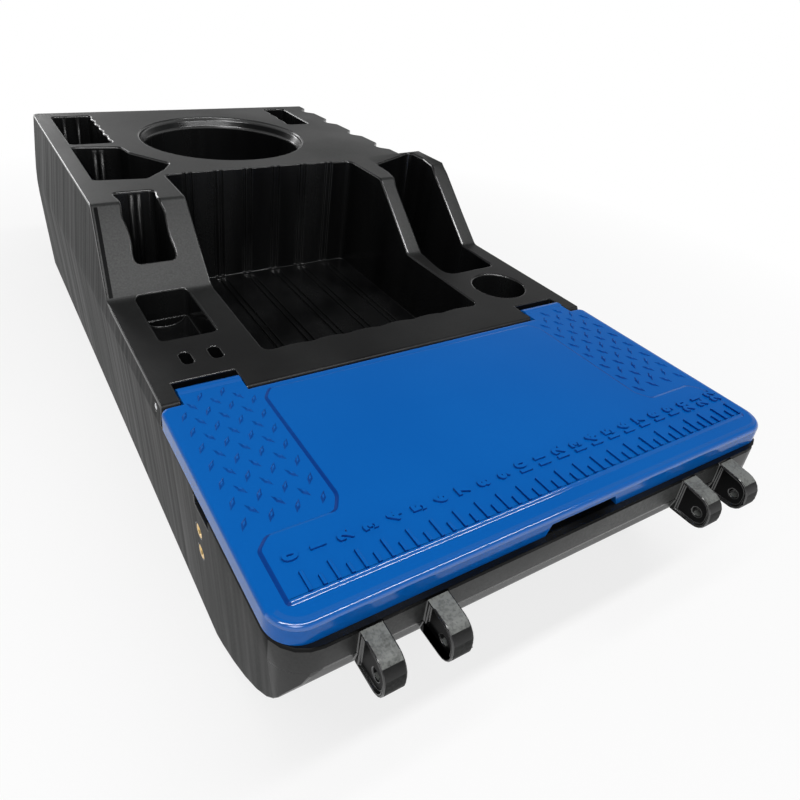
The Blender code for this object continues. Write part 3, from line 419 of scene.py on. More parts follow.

# %% [markdown]
# The finishes of the hull
#
# The decks are dull with haze, the side walls streaked, the bow bloomed, and the pockets glossy. Rounded rims are
# the shiniest, as if polished by handling. The lugs' cheeks are dark as painted shade, and their tops get a grey
# that is partly scuffing and partly painted sheen.

# %% Hull finishes
deck_black = plastic("deck_black", (BLACK, HAZE), (0.0, 0.10), (0.36, 0.50), 0.34, grain=0.00006,
                     waves=0.0005, slope_haze=0.22)
side_black = plastic("side_black", (BLACK, HAZE), (0.0, 0.30), (0.38, 0.55), 0.04, grain=0.00006,
                     waves=0.0020, stretch=(1.0, 4.5, 0.35))
pocket_black = plastic("pocket_black", (BLACK, BLOOM), (0.0, 0.12), (0.18, 0.30), 0.25, grain=0.00003,
                       waves=0.0008, stretch=(2.5, 2.5, 0.3))
# Lug tops: a grey that is partly scuffing and partly painted sheen, on the faces that look up.
scuffed_sheen_black = plastic("scuffed_sheen_black", (BLACK, SCUFF_SHEEN_GREY), (0.7, 1.1), (0.40, 0.55), 0.42, grain=0.00008,
                     stretch=(16.0, 16.0, 16.0))
# Dark finish with little shine: painted shade on the lug cheeks, and a painted dark reflection on the slope strip.
painted_dark_black = plastic("painted_dark_black", (BLACK, BLOOM), (0.0, 0.05), (0.30, 0.40), 0.04, grain=0.00005,
                      waves=0.0003)
rim_black = plastic("rim_black", (BLACK, HAZE), (0.0, 0.16), (0.20, 0.28), 0.90, grain=0.00003, waves=0.0002)
bow_black = plastic("bow_black", (BLACK, HAZE), (0.08, 0.50), (0.38, 0.50), 0.30, grain=0.00006, waves=0.0008)
HULL_FINISHES = {
    "deck": deck_black, "side": side_black, "pocket": pocket_black, "scuff_and_sheen": scuffed_sheen_black,
    "painted_dark": painted_dark_black, "rim": rim_black, "bow": bow_black,
}
print("hull finishes:", ", ".join(HULL_FINISHES))

# %% [markdown]
# The finishes of the lid
#
# The lid is smoother than the hull. Its front roundings catch the lamps, so they have a mirror-like finish of
# their own. The slopes of raised marks get a deeper blue as painted shade, which stands for the shade in their
# corners.

# %% Lid finishes
BLUES = (LID_BLUE, LID_BLUE_WORN)
PAINTED_SHADE_BLUES = (LID_BLUE_PAINTED_SHADE, LID_BLUE)
lid_blue = plastic("lid_blue", BLUES, (0.0, 0.6), (0.13, 0.19), 0.14, grain=0.00002, waves=0.0002)
lid_tread_blue = plastic("lid_tread_blue", BLUES, (0.0, 0.6), (0.38, 0.46), 0.14)
lid_edge_blue = plastic("lid_edge_blue", BLUES, (0.0, 0.6), (0.10, 0.12), 1.0)
# These two finishes are painted shade: a deeper blue for the flanks of raised marks and lozenges.
lid_blue_painted_shade = plastic("lid_blue_painted_shade", PAINTED_SHADE_BLUES, (0.0, 0.2), (0.40, 0.48), 0.06)
lid_tread_painted_shade = plastic("lid_tread_painted_shade", PAINTED_SHADE_BLUES, (0.1, 0.5), (0.40, 0.48), 0.06)
print("lid finishes:", lid_blue.name, lid_tread_blue.name, lid_edge_blue.name)

# %% [markdown]
# The roundings of the hull
#
# The hull is one piece, and its pockets are already cut in the sized model, with sharp edges and flat facets.
# A real moulding has no sharp edge: plastic powder can't fill one. So every real corner gets a Bevel whose
# width follows what the edge is: wide on deck rims, narrow at slots, grooves and lugs. An edge's place tells
# what it is, so its zone is looked up from the middle of the edge. The first zone that fits counts.

# %% Widths of the roundings
RIM_WIDTH = 0.0042
RIM_SHARES = {
    "slope_foot": 0.30, "beside_left_pocket": 0.16, "lugs": 0.32, "well_rear": 0.24, "hinge_cheeks": 0.20,
    "floor_grooves": 0.10, "floors": 0.30, "front_deck": 0.45, "deck": 0.75,
}
ALONG = 0.9


def rim_share(edge):
    """How wide the rounding of an edge is, as a share of the widest."""
    start, end = (vert.co for vert in edge.verts)
    middle = (start + end) / 2
    along_y = abs(end.y - start.y) > ALONG * (end - start).length
    depth = LOWER_DECK_Z - middle.z
    from_foot = abs(middle.y - SLOPE_FOOT_Y)
    from_well = abs(middle.y - WELL_REAR_Y)
    behind_lid = middle.y - LID_REAR_Y
    zones = {
        "slope_foot": from_foot < 0.004 and middle.x < 0.0 and depth < 0.004,
        "beside_left_pocket": middle.x < -0.19 and depth > 0.035 and from_foot < 0.03,
        "lugs": middle.y - HULL_LOW.y < 0.045,
        "well_rear": from_well < 0.006 and depth < 0.12 and abs(middle.x) < 0.16,
        "hinge_cheeks": behind_lid < 0.062 and depth > 0.004,
        "floor_grooves": depth > 0.085 and along_y,
        "floors": depth > 0.085,
        "front_deck": behind_lid < 0.10,
        "deck": True,
    }
    return RIM_SHARES[next(zone for zone, fits in zones.items() if fits)]


print("roundings from", min(RIM_SHARES.values()) * RIM_WIDTH, "to", max(RIM_SHARES.values()) * RIM_WIDTH, "m")

# %% [markdown]
# Which face gets which finish
#
# A face shows by its place and its tilt what it is: the side of a lug, the wall of a pocket, the bow. The
# tilt is read from its normal, whose Z part is near 0 for a wall and near 1 for a deck.

# %% Kinds of faces
LID_GAP_HEIGHT = 0.0055
PARTING_LINE_Z = LOWER_DECK_Z - 0.052
PARTING_LINE_HEIGHT = 0.0009
BOW_FRONT_Y = LID_LOW.y - 0.0055
LUG_ROOT_Y = BOW_FRONT_Y - 0.001
# Depths below the deck of the painted shade under the bucket's lip; below the first, the bucket gets the dark
# pocket finish.
BUCKET_LIP_SHADE = (0.0052, 0.0072)
UPRIGHT = 0.30
SIDE_TILT = 0.35
LUG_TOP_TILT = 0.70
LUG_CHEEK_TILT = 0.80
POCKET_MARGINS = {"inner_side": 0.006, "outer_side": 0.030, "front": 0.06, "rear": 0.025, "floor": 0.015}
DECK_SKIN = 0.0045


def in_bucket(middle):
    """True for a place inside the round bucket well."""
    near_centre = (middle.xy - BUCKET_CENTRE).length < BUCKET_RADIUS + 0.002
    return near_centre and middle.y > WELL_REAR_Y + 0.01


def in_lid_gap(face):
    """True for a face of the narrow shadow gap below the lid."""
    middle = face.calc_center_median()
    if not SKIRT_BOTTOM_Z - LID_GAP_HEIGHT < middle.z < SKIRT_BOTTOM_Z or abs(face.normal.z) > 0.5:
        return False
    at_side = abs(middle.x) > LID_HIGH.x - 0.010 and middle.y < LID_REAR_Y
    at_front = BOW_FRONT_Y - 0.004 < middle.y < LID_LOW.y + 0.012
    faces_out = face.normal.x * middle.x > -0.001 and face.normal.y < 0.01
    return (at_side or at_front) and faces_out


def on_parting_line(face):
    """True for a face of the moulding's parting line on the bow."""
    middle = face.calc_center_median()
    in_line = PARTING_LINE_Z - PARTING_LINE_HEIGHT < middle.z < PARTING_LINE_Z
    return in_line and BOW_FRONT_Y - 0.002 < middle.y < LID_LOW.y + 0.035


def is_lug_cheek(face):
    """True for the sides of the tow lugs."""
    return face.calc_center_median().y < LUG_ROOT_Y and abs(face.normal.x) > LUG_CHEEK_TILT


def is_lug_top(face):
    """True for the tops of the tow lugs, which get a grey that is partly scuffing and partly painted sheen."""
    return face.calc_center_median().y < LUG_ROOT_Y and face.normal.z > LUG_TOP_TILT


def is_bucket_lip(face):
    """True for the thin dark line of painted shade under the lip of the bucket well."""
    middle = face.calc_center_median()
    upper, lower = (UPPER_DECK_Z - below for below in BUCKET_LIP_SHADE)
    return in_bucket(middle) and lower < middle.z < upper and abs(face.normal.z) < UPRIGHT


def is_bow(face):
    """True for the bow's front below the lid, without the tow lugs."""
    middle = face.calc_center_median()
    in_front = LUG_ROOT_Y < middle.y < LID_LOW.y + 0.06
    return in_front and face.normal.y < -SIDE_TILT and middle.z < SKIRT_BOTTOM_Z


def is_pocket(face):
    """True for a face inside a pocket or well, and not on the deck or the outside."""
    middle = face.calc_center_median()
    faces_in = face.normal.x * middle.x < -0.05 * abs(middle.x)
    side = HULL_HIGH.x - POCKET_MARGINS["inner_side" if faces_in else "outer_side"]
    front, rear = HULL_LOW.y + POCKET_MARGINS["front"], HULL_HIGH.y - POCKET_MARGINS["rear"]
    skin = BUCKET_LIP_SHADE[0] if in_bucket(middle) else DECK_SKIN
    within = abs(middle.x) < side and front < middle.y < rear
    return within and HULL_LOW.z + POCKET_MARGINS["floor"] < middle.z < deck_height(middle.y) - skin


def finish_of(face, strip, dark):
    """The finish of a face of the hull; strip and dark are the faces cut for dark lines: strip is the painted dark
    reflection beside the left slope, and dark is the sunk lid gap, painted shade.
    """
    # Lug cheeks get the dark finish as painted shade, and the slope strip as a painted dark reflection.
    if is_lug_cheek(face) or face in strip:
        return "painted_dark"
    # The sunk lid gap and the line under the bucket's lip get the dark pocket finish as painted shade.
    if is_pocket(face) or face in dark or on_parting_line(face) or is_bucket_lip(face):
        return "pocket"
    if is_lug_top(face):
        return "scuff_and_sheen"
    if is_bow(face):
        return "bow"
    if abs(face.normal.z) < SIDE_TILT and face.calc_center_median().z < UPPER_DECK_Z:
        return "side"
    return "deck"


print("parting line at", round(PARTING_LINE_Z, 3), "and lugs before", round(LUG_ROOT_Y, 3))

# %% [markdown]
# Dark lines
#
# Some lines of the real hull have no face of their own in the sized model: the gap below the lid, the parting
# line, the line under the bucket's lip and the strip beside the left arm's slope. A plane cuts the faces there,
# and the narrow face between two cuts gets a dark finish. The gap is pushed in as well. The dark finish in the gap
# and under the bucket's lip is painted shade, and the strip beside the slope is a painted dark reflection.

# %% Cuts
# Insets of the strip beside the left slope, a painted dark reflection of the rounded edge.
PAINTED_SLOPE_STRIP = (0.0036, 0.0088)
LID_GAP_DEPTH = 0.0022
LID_GAP_DRAFT = 0.0003


def cut_across(shape, faces, place, direction):
    """Cut some faces along a plane, and give back the faces that come of it."""
    around = {item for face in faces for item in (*face.verts, *face.edges)}
    made = bmesh.ops.bisect_plane(shape, geom=[*faces, *around], plane_co=place, plane_no=direction)["geom"]
    return {item for item in made if isinstance(item, bmesh.types.BMFace)}


def cut_level_lines(shape):
    """Cut the levels of the lid's gap, the parting line and the bucket's lip."""
    up = Vector((0.0, 0.0, 1.0))
    for height in (SKIRT_BOTTOM_Z - LID_GAP_HEIGHT, PARTING_LINE_Z, PARTING_LINE_Z - PARTING_LINE_HEIGHT):
        bow = [face for face in shape.faces if face.calc_center_median().y < LID_REAR_Y]
        cut_across(shape, bow, up * height, up)
    for below in BUCKET_LIP_SHADE:
        wall = [face for face in shape.faces
                if in_bucket(face.calc_center_median()) and abs(face.normal.z) < UPRIGHT]
        cut_across(shape, wall, up * (UPPER_DECK_Z - below), up)


def left_slope(shape):
    """The sloping face of the left arm, and its outer edge."""
    slopes = []
    for face in shape.faces:
        middle = face.calc_center_median()
        on_left_arm = SLOPE_FOOT_Y < middle.y < SLOPE_TOP_Y and middle.x < 0.0
        if on_left_arm and face.normal.z > 0.3 and face.normal.y < -0.3:
            slopes.append(face)
    slope = max(slopes, key=lambda face: face.calc_area())
    outer = [edge for edge in slope.edges if max(vert.co.x for vert in edge.verts) < HULL_LOW.x + 0.03]
    return slope, max(outer, key=lambda edge: edge.calc_length())


def cut_slope_strip(shape):
    """Cut the narrow strip of painted dark reflection along the left arm's outer edge, and give back its faces."""
    slope, outer = left_slope(shape)
    start, end = (vert.co.copy() for vert in outer.verts)
    normal = slope.normal.copy()
    across = (end - start).normalized().cross(normal)
    if across.x < 0:
        across.negate()
    pieces = {slope}
    for inset in PAINTED_SLOPE_STRIP:
        pieces = cut_across(shape, pieces, start + across * inset, across)
    low, high = PAINTED_SLOPE_STRIP
    in_strip = set()
    for face in pieces:
        inset = (face.calc_center_median() - start).dot(across)
        if low < inset < high and face.normal.dot(normal) > 0.99:
            in_strip.add(face)
    return in_strip


def sink_lid_gap(shape, skin):
    """Push the gap below the lid in, and give back its faces."""
    gap = [face for face in skin if in_lid_gap(face)]
    walls = bmesh.ops.inset_region(shape, faces=gap, thickness=LID_GAP_DRAFT, depth=-LID_GAP_DEPTH,
                                   use_boundary=True, use_even_offset=True)["faces"]
    return {*gap, *walls}


print("lid gap", LID_GAP_DEPTH, "m deep, slope strip", round(PAINTED_SLOPE_STRIP[1] - PAINTED_SLOPE_STRIP[0], 4), "m wide")

# %% [markdown]
# The hull
#
# The sized mesh is copied, and its triangles are merged back into whole faces. Then the dark lines are cut,
# each outer corner gets the weight of its rounding, and each face its finish. The hull is hollow, and a flood
# over neighbouring faces from the highest one finds the outer skin. It stops at the vent plug's bore, so the
# hidden inner wall is left alone. Weighted normals then keep the large faces flat.

# %% Hull
SHARP = math.radians(30)
SAME_PLACE = 0.00002
SAME_PLACE_ON_RAIL = 0.0001
FLAT = math.radians(0.4)
PLUG_WELL_RADIUS = 0.013
ROUNDING_STEPS = 3
LARGE_FACE_WEIGHT = 50


def whole_faces():
    """A copy of the sized hull with its triangles merged back into faces."""
    shape = bmesh.new()
    shape.from_mesh(frame["nodes"]["hull"].data)
    bmesh.ops.remove_doubles(shape, verts=shape.verts, dist=SAME_PLACE)
    rail_x = HULL_HIGH.x - 0.004
    rail_side = [vert for vert in shape.verts if vert.co.x > rail_x and vert.co.z > LOWER_DECK_Z]
    bmesh.ops.remove_doubles(shape, verts=rail_side, dist=SAME_PLACE_ON_RAIL)
    bmesh.ops.dissolve_limit(shape, angle_limit=FLAT, verts=shape.verts, edges=shape.edges)
    return shape


def outer_faces(shape):
    """The faces of the outer skin."""
    plug_low, plug_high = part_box("vent_plug")
    plug_middle = (plug_low + plug_high) / 2
    start = max(shape.faces, key=lambda face: face.calc_center_median().z)
    seen = {start}
    waiting = [start]
    while waiting:
        face = waiting.pop()
        for other in {other for edge in face.edges for other in edge.link_faces} - seen:
            middle = other.calc_center_median()
            aside = math.hypot(middle.x - plug_middle.x, middle.z - plug_middle.z)
            if aside > PLUG_WELL_RADIUS or middle.y > plug_high.y:
                seen.add(other)
                waiting.append(other)
    return seen


def weigh_roundings(shape, skin, dark):
    """Give each sharp outer edge the weight of its rounding, and count them."""
    weights = shape.edges.layers.float.new("bevel_weight_edge")
    rounded_edges = 0
    for edge in shape.edges:
        if len(edge.link_faces) != 2 or edge.calc_face_angle() < SHARP:
            continue
        hidden = edge.link_faces[0] not in skin or dark.intersection(edge.link_faces)
        if hidden or all(face.normal.z > 0.5 for face in edge.link_faces):
            continue
        edge[weights] = rim_share(edge)
        rounded_edges += 1
    return rounded_edges


def flatten_shading(piece):
    """Let the large faces of a piece decide its shading, so that only the roundings look round."""
    weighting = piece.modifiers.new("flat_shading", "WEIGHTED_NORMAL")
    weighting.mode = "FACE_AREA"
    weighting.weight = LARGE_FACE_WEIGHT
    weighting.keep_sharp = True


def make_hull():
    """The hull with rounded rims, dark lines and its finishes."""
    shape = whole_faces()
    cut_level_lines(shape)
    strip = cut_slope_strip(shape)
    skin = outer_faces(shape)
    dark = sink_lid_gap(shape, skin)
    rounded_edges = weigh_roundings(shape, skin | dark | strip, dark)
    slots = list(HULL_FINISHES)
    for face in shape.faces:
        face.smooth = True
        face.material_index = slots.index(finish_of(face, strip, dark))
    piece = piece_of(shape, "hull_shell", *HULL_FINISHES.values())
    rounding = piece.modifiers.new("rounding", "BEVEL")
    rounding.limit_method = "WEIGHT"
    rounding.width = RIM_WIDTH
    rounding.segments = ROUNDING_STEPS
    rounding.material = slots.index("rim")
    rounding.use_clamp_overlap = False
    flatten_shading(piece)
    print("hull:", len(piece.data.polygons), "faces,", rounded_edges, "rounded edges")
    return piece


hull = make_hull()
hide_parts("hull")
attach(hull, "hull_body")

# %% [markdown]
# Ribs in the pockets
#
# The rear walls of the three left-hand pockets carry slim upright ribs that stiffen them.
# Each is a thin rod sunk into the wall, so only its round front shows, as a soft light streak.
# The record's openings say where the pockets are, and each rib stands at a share of its pocket's width.

# %% Pocket ribs
RIB_RADIUS = 0.0038
RIB_SUNK = 0.0040
RIB_BELOW_DECK = 0.004
RIB_FOOT_Z = LOWER_DECK_Z - 0.085
RIB_SEGMENTS = 16
RIB_PLACES = {
    "rear_left_pocket": (0.30, 0.72),
    "tongue_pocket": (0.42, 0.60),
    "arm_pocket": (0.42, 0.66),
}


def make_ribs():
    """Upright ribs on the rear walls of the left-hand pockets."""
    shape = bmesh.new()
    for name, shares in RIB_PLACES.items():
        low, high = OPENINGS[name]
        top = deck_height(high[1]) - RIB_BELOW_DECK
        for share in shares:
            x = low[0] + (high[0] - low[0]) * share
            made = bmesh.ops.create_cone(shape, cap_ends=True, segments=RIB_SEGMENTS, radius1=RIB_RADIUS,
                                         radius2=RIB_RADIUS, depth=top - RIB_FOOT_Z)["verts"]
            bmesh.ops.translate(shape, verts=made, vec=(x, high[1] + RIB_SUNK, (top + RIB_FOOT_Z) / 2))
    piece = piece_of(shape, "pocket_ribs", pocket_black)
    for face in piece.data.polygons:
        face.use_smooth = abs(face.normal.z) < 0.5
    return piece


pocket_ribs = make_ribs()
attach(pocket_ribs, "hull_body")
print("pocket ribs:", len(pocket_ribs.data.polygons), "faces")

# %% [markdown]
# The lip of the tray's step
#
# The left tray has a half-round step at its front, and the step's edge is rolled over as a bright lip. That
# lip is a thin round bar bent along an arc: a small ring, spun about the arc's centre.

# %% Tray lip
LIP_RADIUS = 0.0013
LIP_SEGMENTS = 12
LIP_STEPS = 28
STEP_RADIUS = 0.0326
STEP_CENTRE_BEHIND = 0.0125
QUARTER_TURN = math.pi / 2


def make_tray_lip():
    """The rounded lip of the half-round step in the tray."""
    low, high = OPENINGS["tray_step"]
    centre = Vector(((low[0] + high[0]) / 2, high[1] + STEP_CENTRE_BEHIND, OPENINGS["tray"][0][2]))
    reach = QUARTER_TURN - math.asin(STEP_CENTRE_BEHIND / STEP_RADIUS)
    shape = bmesh.new()
    ring = bmesh.ops.create_circle(shape, segments=LIP_SEGMENTS, radius=LIP_RADIUS)["verts"]
    bmesh.ops.rotate(shape, verts=ring, cent=(0, 0, 0), matrix=Matrix.Rotation(QUARTER_TURN, 3, "Y"))
    bmesh.ops.translate(shape, verts=ring, vec=centre + Vector((0.0, -STEP_RADIUS, 0.0)))
    bmesh.ops.rotate(shape, verts=ring, cent=centre, matrix=Matrix.Rotation(-reach, 3, "Z"))
    bmesh.ops.spin(shape, geom=[*ring, *shape.edges], cent=centre, axis=(0, 0, 1), angle=2 * reach,
                   steps=LIP_STEPS)
    bmesh.ops.holes_fill(shape, edges=[edge for edge in shape.edges if edge.is_boundary])
    bmesh.ops.recalc_face_normals(shape, faces=shape.faces)
    piece = piece_of(shape, "tray_lip", rim_black)
    for face in piece.data.polygons:
        face.use_smooth = len(face.vertices) == 4
    return piece


tray_lip = make_tray_lip()
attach(tray_lip, "hull_body")
print("tray lip:", len(tray_lip.data.polygons), "faces")

# %% [markdown]
# Solids for the lid
#
# The lid is a shallow tray turned over: a plate with a skirt, two hinge tabs and a handhold cut in its front.
# All of it comes from three simple solids: a plate with rounded corners, a block and a rod. Boolean steps
# join them or cut them away, and each is applied at once, so the next one works on a finished mesh.

# %% Lid helpers
def applied(piece):
    """Replace a piece's mesh with what its modifiers make of it."""
    graph = bpy.context.evaluated_depsgraph_get()
    mesh = bpy.data.meshes.new_from_object(piece.evaluated_get(graph), depsgraph=graph)
    piece.modifiers.clear()
    piece.data = mesh


def combine(piece, shape, operation):
    """Join a solid to a piece, or cut it away."""
    tool = bpy.data.objects.new("tool", mesh_of(shape, "tool"))
    bpy.context.scene.collection.objects.link(tool)
    step = piece.modifiers.new("step", "BOOLEAN")
    step.operation = operation
    step.object = tool
    applied(piece)
    bpy.data.objects.remove(tool, do_unlink=True)


def plate(corners, radii, low, high, segments):
    """A closed prism on flat corners, each rounded by a radius."""
    shape = bmesh.new()
    spots = [shape.verts.new((x, y, low)) for x, y in corners]
    shape.faces.new(spots)
    for spot, radius in zip(spots, radii):
        bmesh.ops.bevel(shape, geom=[spot], offset=radius, segments=segments, profile=0.5,
                        affect="VERTICES", material=-1)
    raised = bmesh.ops.extrude_face_region(shape, geom=shape.faces[:])["geom"]
    lifted = [item for item in raised if isinstance(item, bmesh.types.BMVert)]
    bmesh.ops.translate(shape, verts=lifted, vec=(0.0, 0.0, high - low))
    bmesh.ops.recalc_face_normals(shape, faces=shape.faces)
    return shape


def block(low, high):
    """A box between two corners."""
    shape = bmesh.new()
    bmesh.ops.create_cube(shape, size=1.0)
    bmesh.ops.scale(shape, verts=shape.verts, vec=Vector(high) - Vector(low))
    bmesh.ops.translate(shape, verts=shape.verts, vec=(Vector(low) + Vector(high)) / 2)
    return shape


def rod(radius, start_x, end_x, segments):
    """A cylinder along the hinge line."""
    shape = bmesh.new()
    bmesh.ops.create_cone(shape, cap_ends=True, segments=segments, radius1=radius, radius2=radius,
                          depth=abs(end_x - start_x))
    bmesh.ops.rotate(shape, verts=shape.verts, cent=(0, 0, 0), matrix=Matrix.Rotation(QUARTER_TURN, 3, "Y"))
    bmesh.ops.translate(shape, verts=shape.verts, vec=((start_x + end_x) / 2, HINGE.y, HINGE.z))
    return shape


print("lid box:", tuple(round(value, 4) for value in LID_HIGH - LID_LOW))

# %% [markdown]
# The lid's shell
#
# The plate starts as a rectangle whose corners are rounded with a vertex bevel, and gets its height by
# extruding. A band round its top drops a little towards the edge, and the edge itself is rounded. A smaller
# plate cut away from below leaves the top and the skirt.

# %% Lid shell
TOP_STEP = 0.0016
LID_PLATE_Z = LID_TOP_Z - TOP_STEP
SKIRT = 0.006
CORNER_RADIUS = 0.030
REAR_RADIUS = 0.0095
CORNER_RADII = (CORNER_RADIUS, CORNER_RADIUS, REAR_RADIUS, REAR_RADIUS)
CORNER_STEPS = 10
INSIDE_STEPS = 8
LEAST_RADIUS = 0.002
EDGE_ROUNDING = 0.0046
EDGE_STEPS = 6
RIM_BAND = 0.0085
RIM_DROP = 0.0011
REAR_DROP = 0.0001
SAME_LEVEL = 0.00001


def lid_outline(inset=0.0):
    """The lid's four corners, front left first, drawn in by an inset."""
    left, right = LID_LOW.x + inset, LID_HIGH.x - inset
    front, rear = LID_LOW.y + inset, LID_REAR_Y - inset
    return [(left, front), (right, front), (right, rear), (left, rear)]


def make_shell():
    """The lid's top and skirt."""
    shape = plate(lid_outline(), CORNER_RADII, SKIRT_BOTTOM_Z, LID_PLATE_Z, CORNER_STEPS)
    crown = max(shape.faces, key=lambda face: face.calc_center_median().z + face.calc_area())
    bmesh.ops.inset_region(shape, faces=[crown], thickness=RIM_BAND, depth=0.0, use_even_offset=True)
    top_verts = {vert for vert in shape.verts if abs(vert.co.z - LID_PLATE_Z) < SAME_LEVEL}
    outer = top_verts.difference(crown.verts)
    rim = [edge for edge in shape.edges if outer.issuperset(edge.verts)]
    for vert in outer:
        at_rear = vert.co.y > LID_REAR_Y - REAR_RADIUS - 0.001
        vert.co.z -= REAR_DROP if at_rear else RIM_DROP
    bmesh.ops.bevel(shape, geom=rim, offset=EDGE_ROUNDING, segments=EDGE_STEPS, profile=0.5,
                    affect="EDGES", material=-1)
    piece = piece_of(shape, "lid_shell", lid_blue)
    radii = [max(radius - SKIRT, LEAST_RADIUS) for radius in CORNER_RADII]
    inside = plate(lid_outline(SKIRT), radii, SKIRT_BOTTOM_Z - SKIRT, LID_PLATE_Z - SKIRT, INSIDE_STEPS)
    combine(piece, inside, "DIFFERENCE")
    return piece


lid_shell = make_shell()
print("lid shell:", len(lid_shell.data.polygons), "faces before its tabs and handhold")

# %% [markdown]
# Tabs and handhold
#
# Each tab is a knuckle round the pin, a web that joins it to the lid, and a hole for the pin. The web starts
# inside the lid, so the two meshes overlap: faces that only touch would confuse the Boolean.

# %% Tabs and handhold
TAB_SPANS = ((-0.2858, -0.2142), (0.2162, 0.2858))
KNUCKLE_SEGMENTS = 48
HOLE_SEGMENTS = 32
PIN_HOLE_RADIUS = 0.0043
WEB_OVERLAP = 0.002
WEB_BELOW_TOP = 0.00002
HANDHOLD = {"left": -0.046, "right": 0.060, "rise": 0.0127, "ramp": 0.010, "depth": 0.010}
LID_SHARP = math.radians(32)
FRONT_ROUNDING_TILTS = (0.10, 0.985)


def add_tab(piece, start, end):
    """One hinge tab between two stations along X."""
    combine(piece, rod(KNUCKLE_RADIUS, start, end, KNUCKLE_SEGMENTS), "UNION")
    flat_top = min(HINGE.z + KNUCKLE_RADIUS, LID_PLATE_Z) - WEB_BELOW_TOP
    web_front = LID_REAR_Y - RIM_BAND - WEB_OVERLAP
    web = block((start, web_front, LID_PLATE_Z - SKIRT), (end, HINGE.y, flat_top))
    combine(piece, web, "UNION")
    combine(piece, rod(PIN_HOLE_RADIUS, start - SKIRT, end + SKIRT, HOLE_SEGMENTS), "DIFFERENCE")


def cut_handhold(piece):
    """A notch in the skirt's front, with ramped ends."""
    depth, rise = HANDHOLD["depth"], HANDHOLD["rise"]
    notch = block((HANDHOLD["left"], LID_LOW.y - depth, SKIRT_BOTTOM_Z - rise),
                  (HANDHOLD["right"], LID_LOW.y + depth, SKIRT_BOTTOM_Z + rise))
    for vert in notch.verts:
        if vert.co.z > SKIRT_BOTTOM_Z:
            vert.co.x -= math.copysign(HANDHOLD["ramp"], vert.co.x)
    combine(piece, notch, "DIFFERENCE")


def shine_front_rounding(piece):
    """Give the rounding of the front edges its mirror-like finish."""
    piece.data.materials.append(lid_edge_blue)
    flank_top = LID_PLATE_Z - RIM_DROP - EDGE_ROUNDING
    steepest, flattest = FRONT_ROUNDING_TILTS
    for face in piece.data.polygons:
        face.use_smooth = True
        if steepest < face.normal.z < flattest and face.normal.y < -0.10 and face.center.z > flank_top:
            face.material_index = 1


for start, end in TAB_SPANS:
    add_tab(lid_shell, start, end)
cut_handhold(lid_shell)
shine_front_rounding(lid_shell)
lid_shell.data.set_sharp_from_angle(angle=LID_SHARP)
flatten_shading(lid_shell)
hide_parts("lid")
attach(lid_shell, "lid_body")
print("lid shell:", len(lid_shell.data.polygons), "faces")

# %% [markdown]
# The raised panel
#
# The middle of the lid and the strip that carries the ruler stand a little higher than the two treads.
# The step isn't square: its shoulder is a rounded slope, and reads as a dark or a bright line. Its faces that lean
# to the sides are given a deeper blue as painted shade, and those that lean forward the glossy edge finish. Insets
# of the panel's outline, each lifted a little, make such a shoulder. The middle is left bare.

# %% Raised panel
PANEL_HALF = {"rear": 0.1937, "middle": 0.205, "step": 0.215, "shelf": 0.281, "front": 0.294}
PANEL_BACK = {
    "rear": 0.0185, "shoulder": 0.034, "step": 0.197, "shelf": 0.213, "corner": 0.226, "front": 0.2855,
}
PANEL_SUNK = 0.0006
PANEL_CORNER = 0.004
PANEL_CORNER_STEPS = 3
PANEL_SHARP = math.radians(60)
SHOULDER_STEPS = ((0.0008, 0.0003), (0.0009, 0.0007), (0.0008, 0.0004), (0.0010, 0.0002), (0.0015, 0.0))
SHOULDER_FLATTEST = 0.995
SHOULDER_LEAN = 0.06
TAB_LINE_BEHIND = 0.0085


def lid_place(x, back, z=0.0):
    """A point on the lid: back is measured forwards from a line on the tabs, just behind the lid's edge."""
    return Vector((x, LID_REAR_Y + TAB_LINE_BEHIND - back, z))


def panel_corners():
    """The panel's outline, anticlockwise from its front right corner."""
    half, back = PANEL_HALF, PANEL_BACK
    right = [
        (half["front"], back["front"]), (half["front"], back["corner"]), (half["shelf"], back["shelf"]),
        (half["step"], back["shelf"]), (half["middle"], back["step"]), (half["middle"], back["shoulder"]),
        (half["rear"], back["rear"]),
    ]
    left = [(-x, y) for x, y in reversed(right)]
    return [tuple(lid_place(x, y).xy) for x, y in right + left]


def make_panel():
    """The raised panel with its rounded shoulder."""
    shape = bmesh.new()
    spots = [shape.verts.new((x, y, LID_PLATE_Z - PANEL_SUNK)) for x, y in panel_corners()]
    shape.faces.new(spots)
    bmesh.ops.bevel(shape, geom=spots, offset=PANEL_CORNER, segments=PANEL_CORNER_STEPS, profile=0.5,
                    affect="VERTICES", material=-1)
    made = bmesh.ops.extrude_face_region(shape, geom=shape.faces[:])["geom"]
    top = next(item for item in made if isinstance(item, bmesh.types.BMFace))
    bmesh.ops.translate(shape, verts=top.verts[:], vec=(0.0, 0.0, PANEL_SUNK))
    for width, rise in SHOULDER_STEPS:
        bmesh.ops.inset_region(shape, faces=[top], thickness=width, depth=0.0, use_even_offset=True)
        bmesh.ops.translate(shape, verts=top.verts[:], vec=(0.0, 0.0, rise))
    bmesh.ops.recalc_face_normals(shape, faces=shape.faces)
    piece = piece_of(shape, "lid_panel", lid_blue, lid_blue_painted_shade, lid_edge_blue)
    for face in piece.data.polygons:
        face.use_smooth = True
        # Side-leaning shoulder faces get painted shade; forward-leaning ones get the glossy edge finish.
        if face.normal.z < SHOULDER_FLATTEST and abs(face.normal.x) > SHOULDER_LEAN:
            face.material_index = 1
        elif face.normal.z < SHOULDER_FLATTEST and face.normal.y < -SHOULDER_LEAN:
            face.material_index = 2
    piece.data.set_sharp_from_angle(angle=PANEL_SHARP)
    return piece


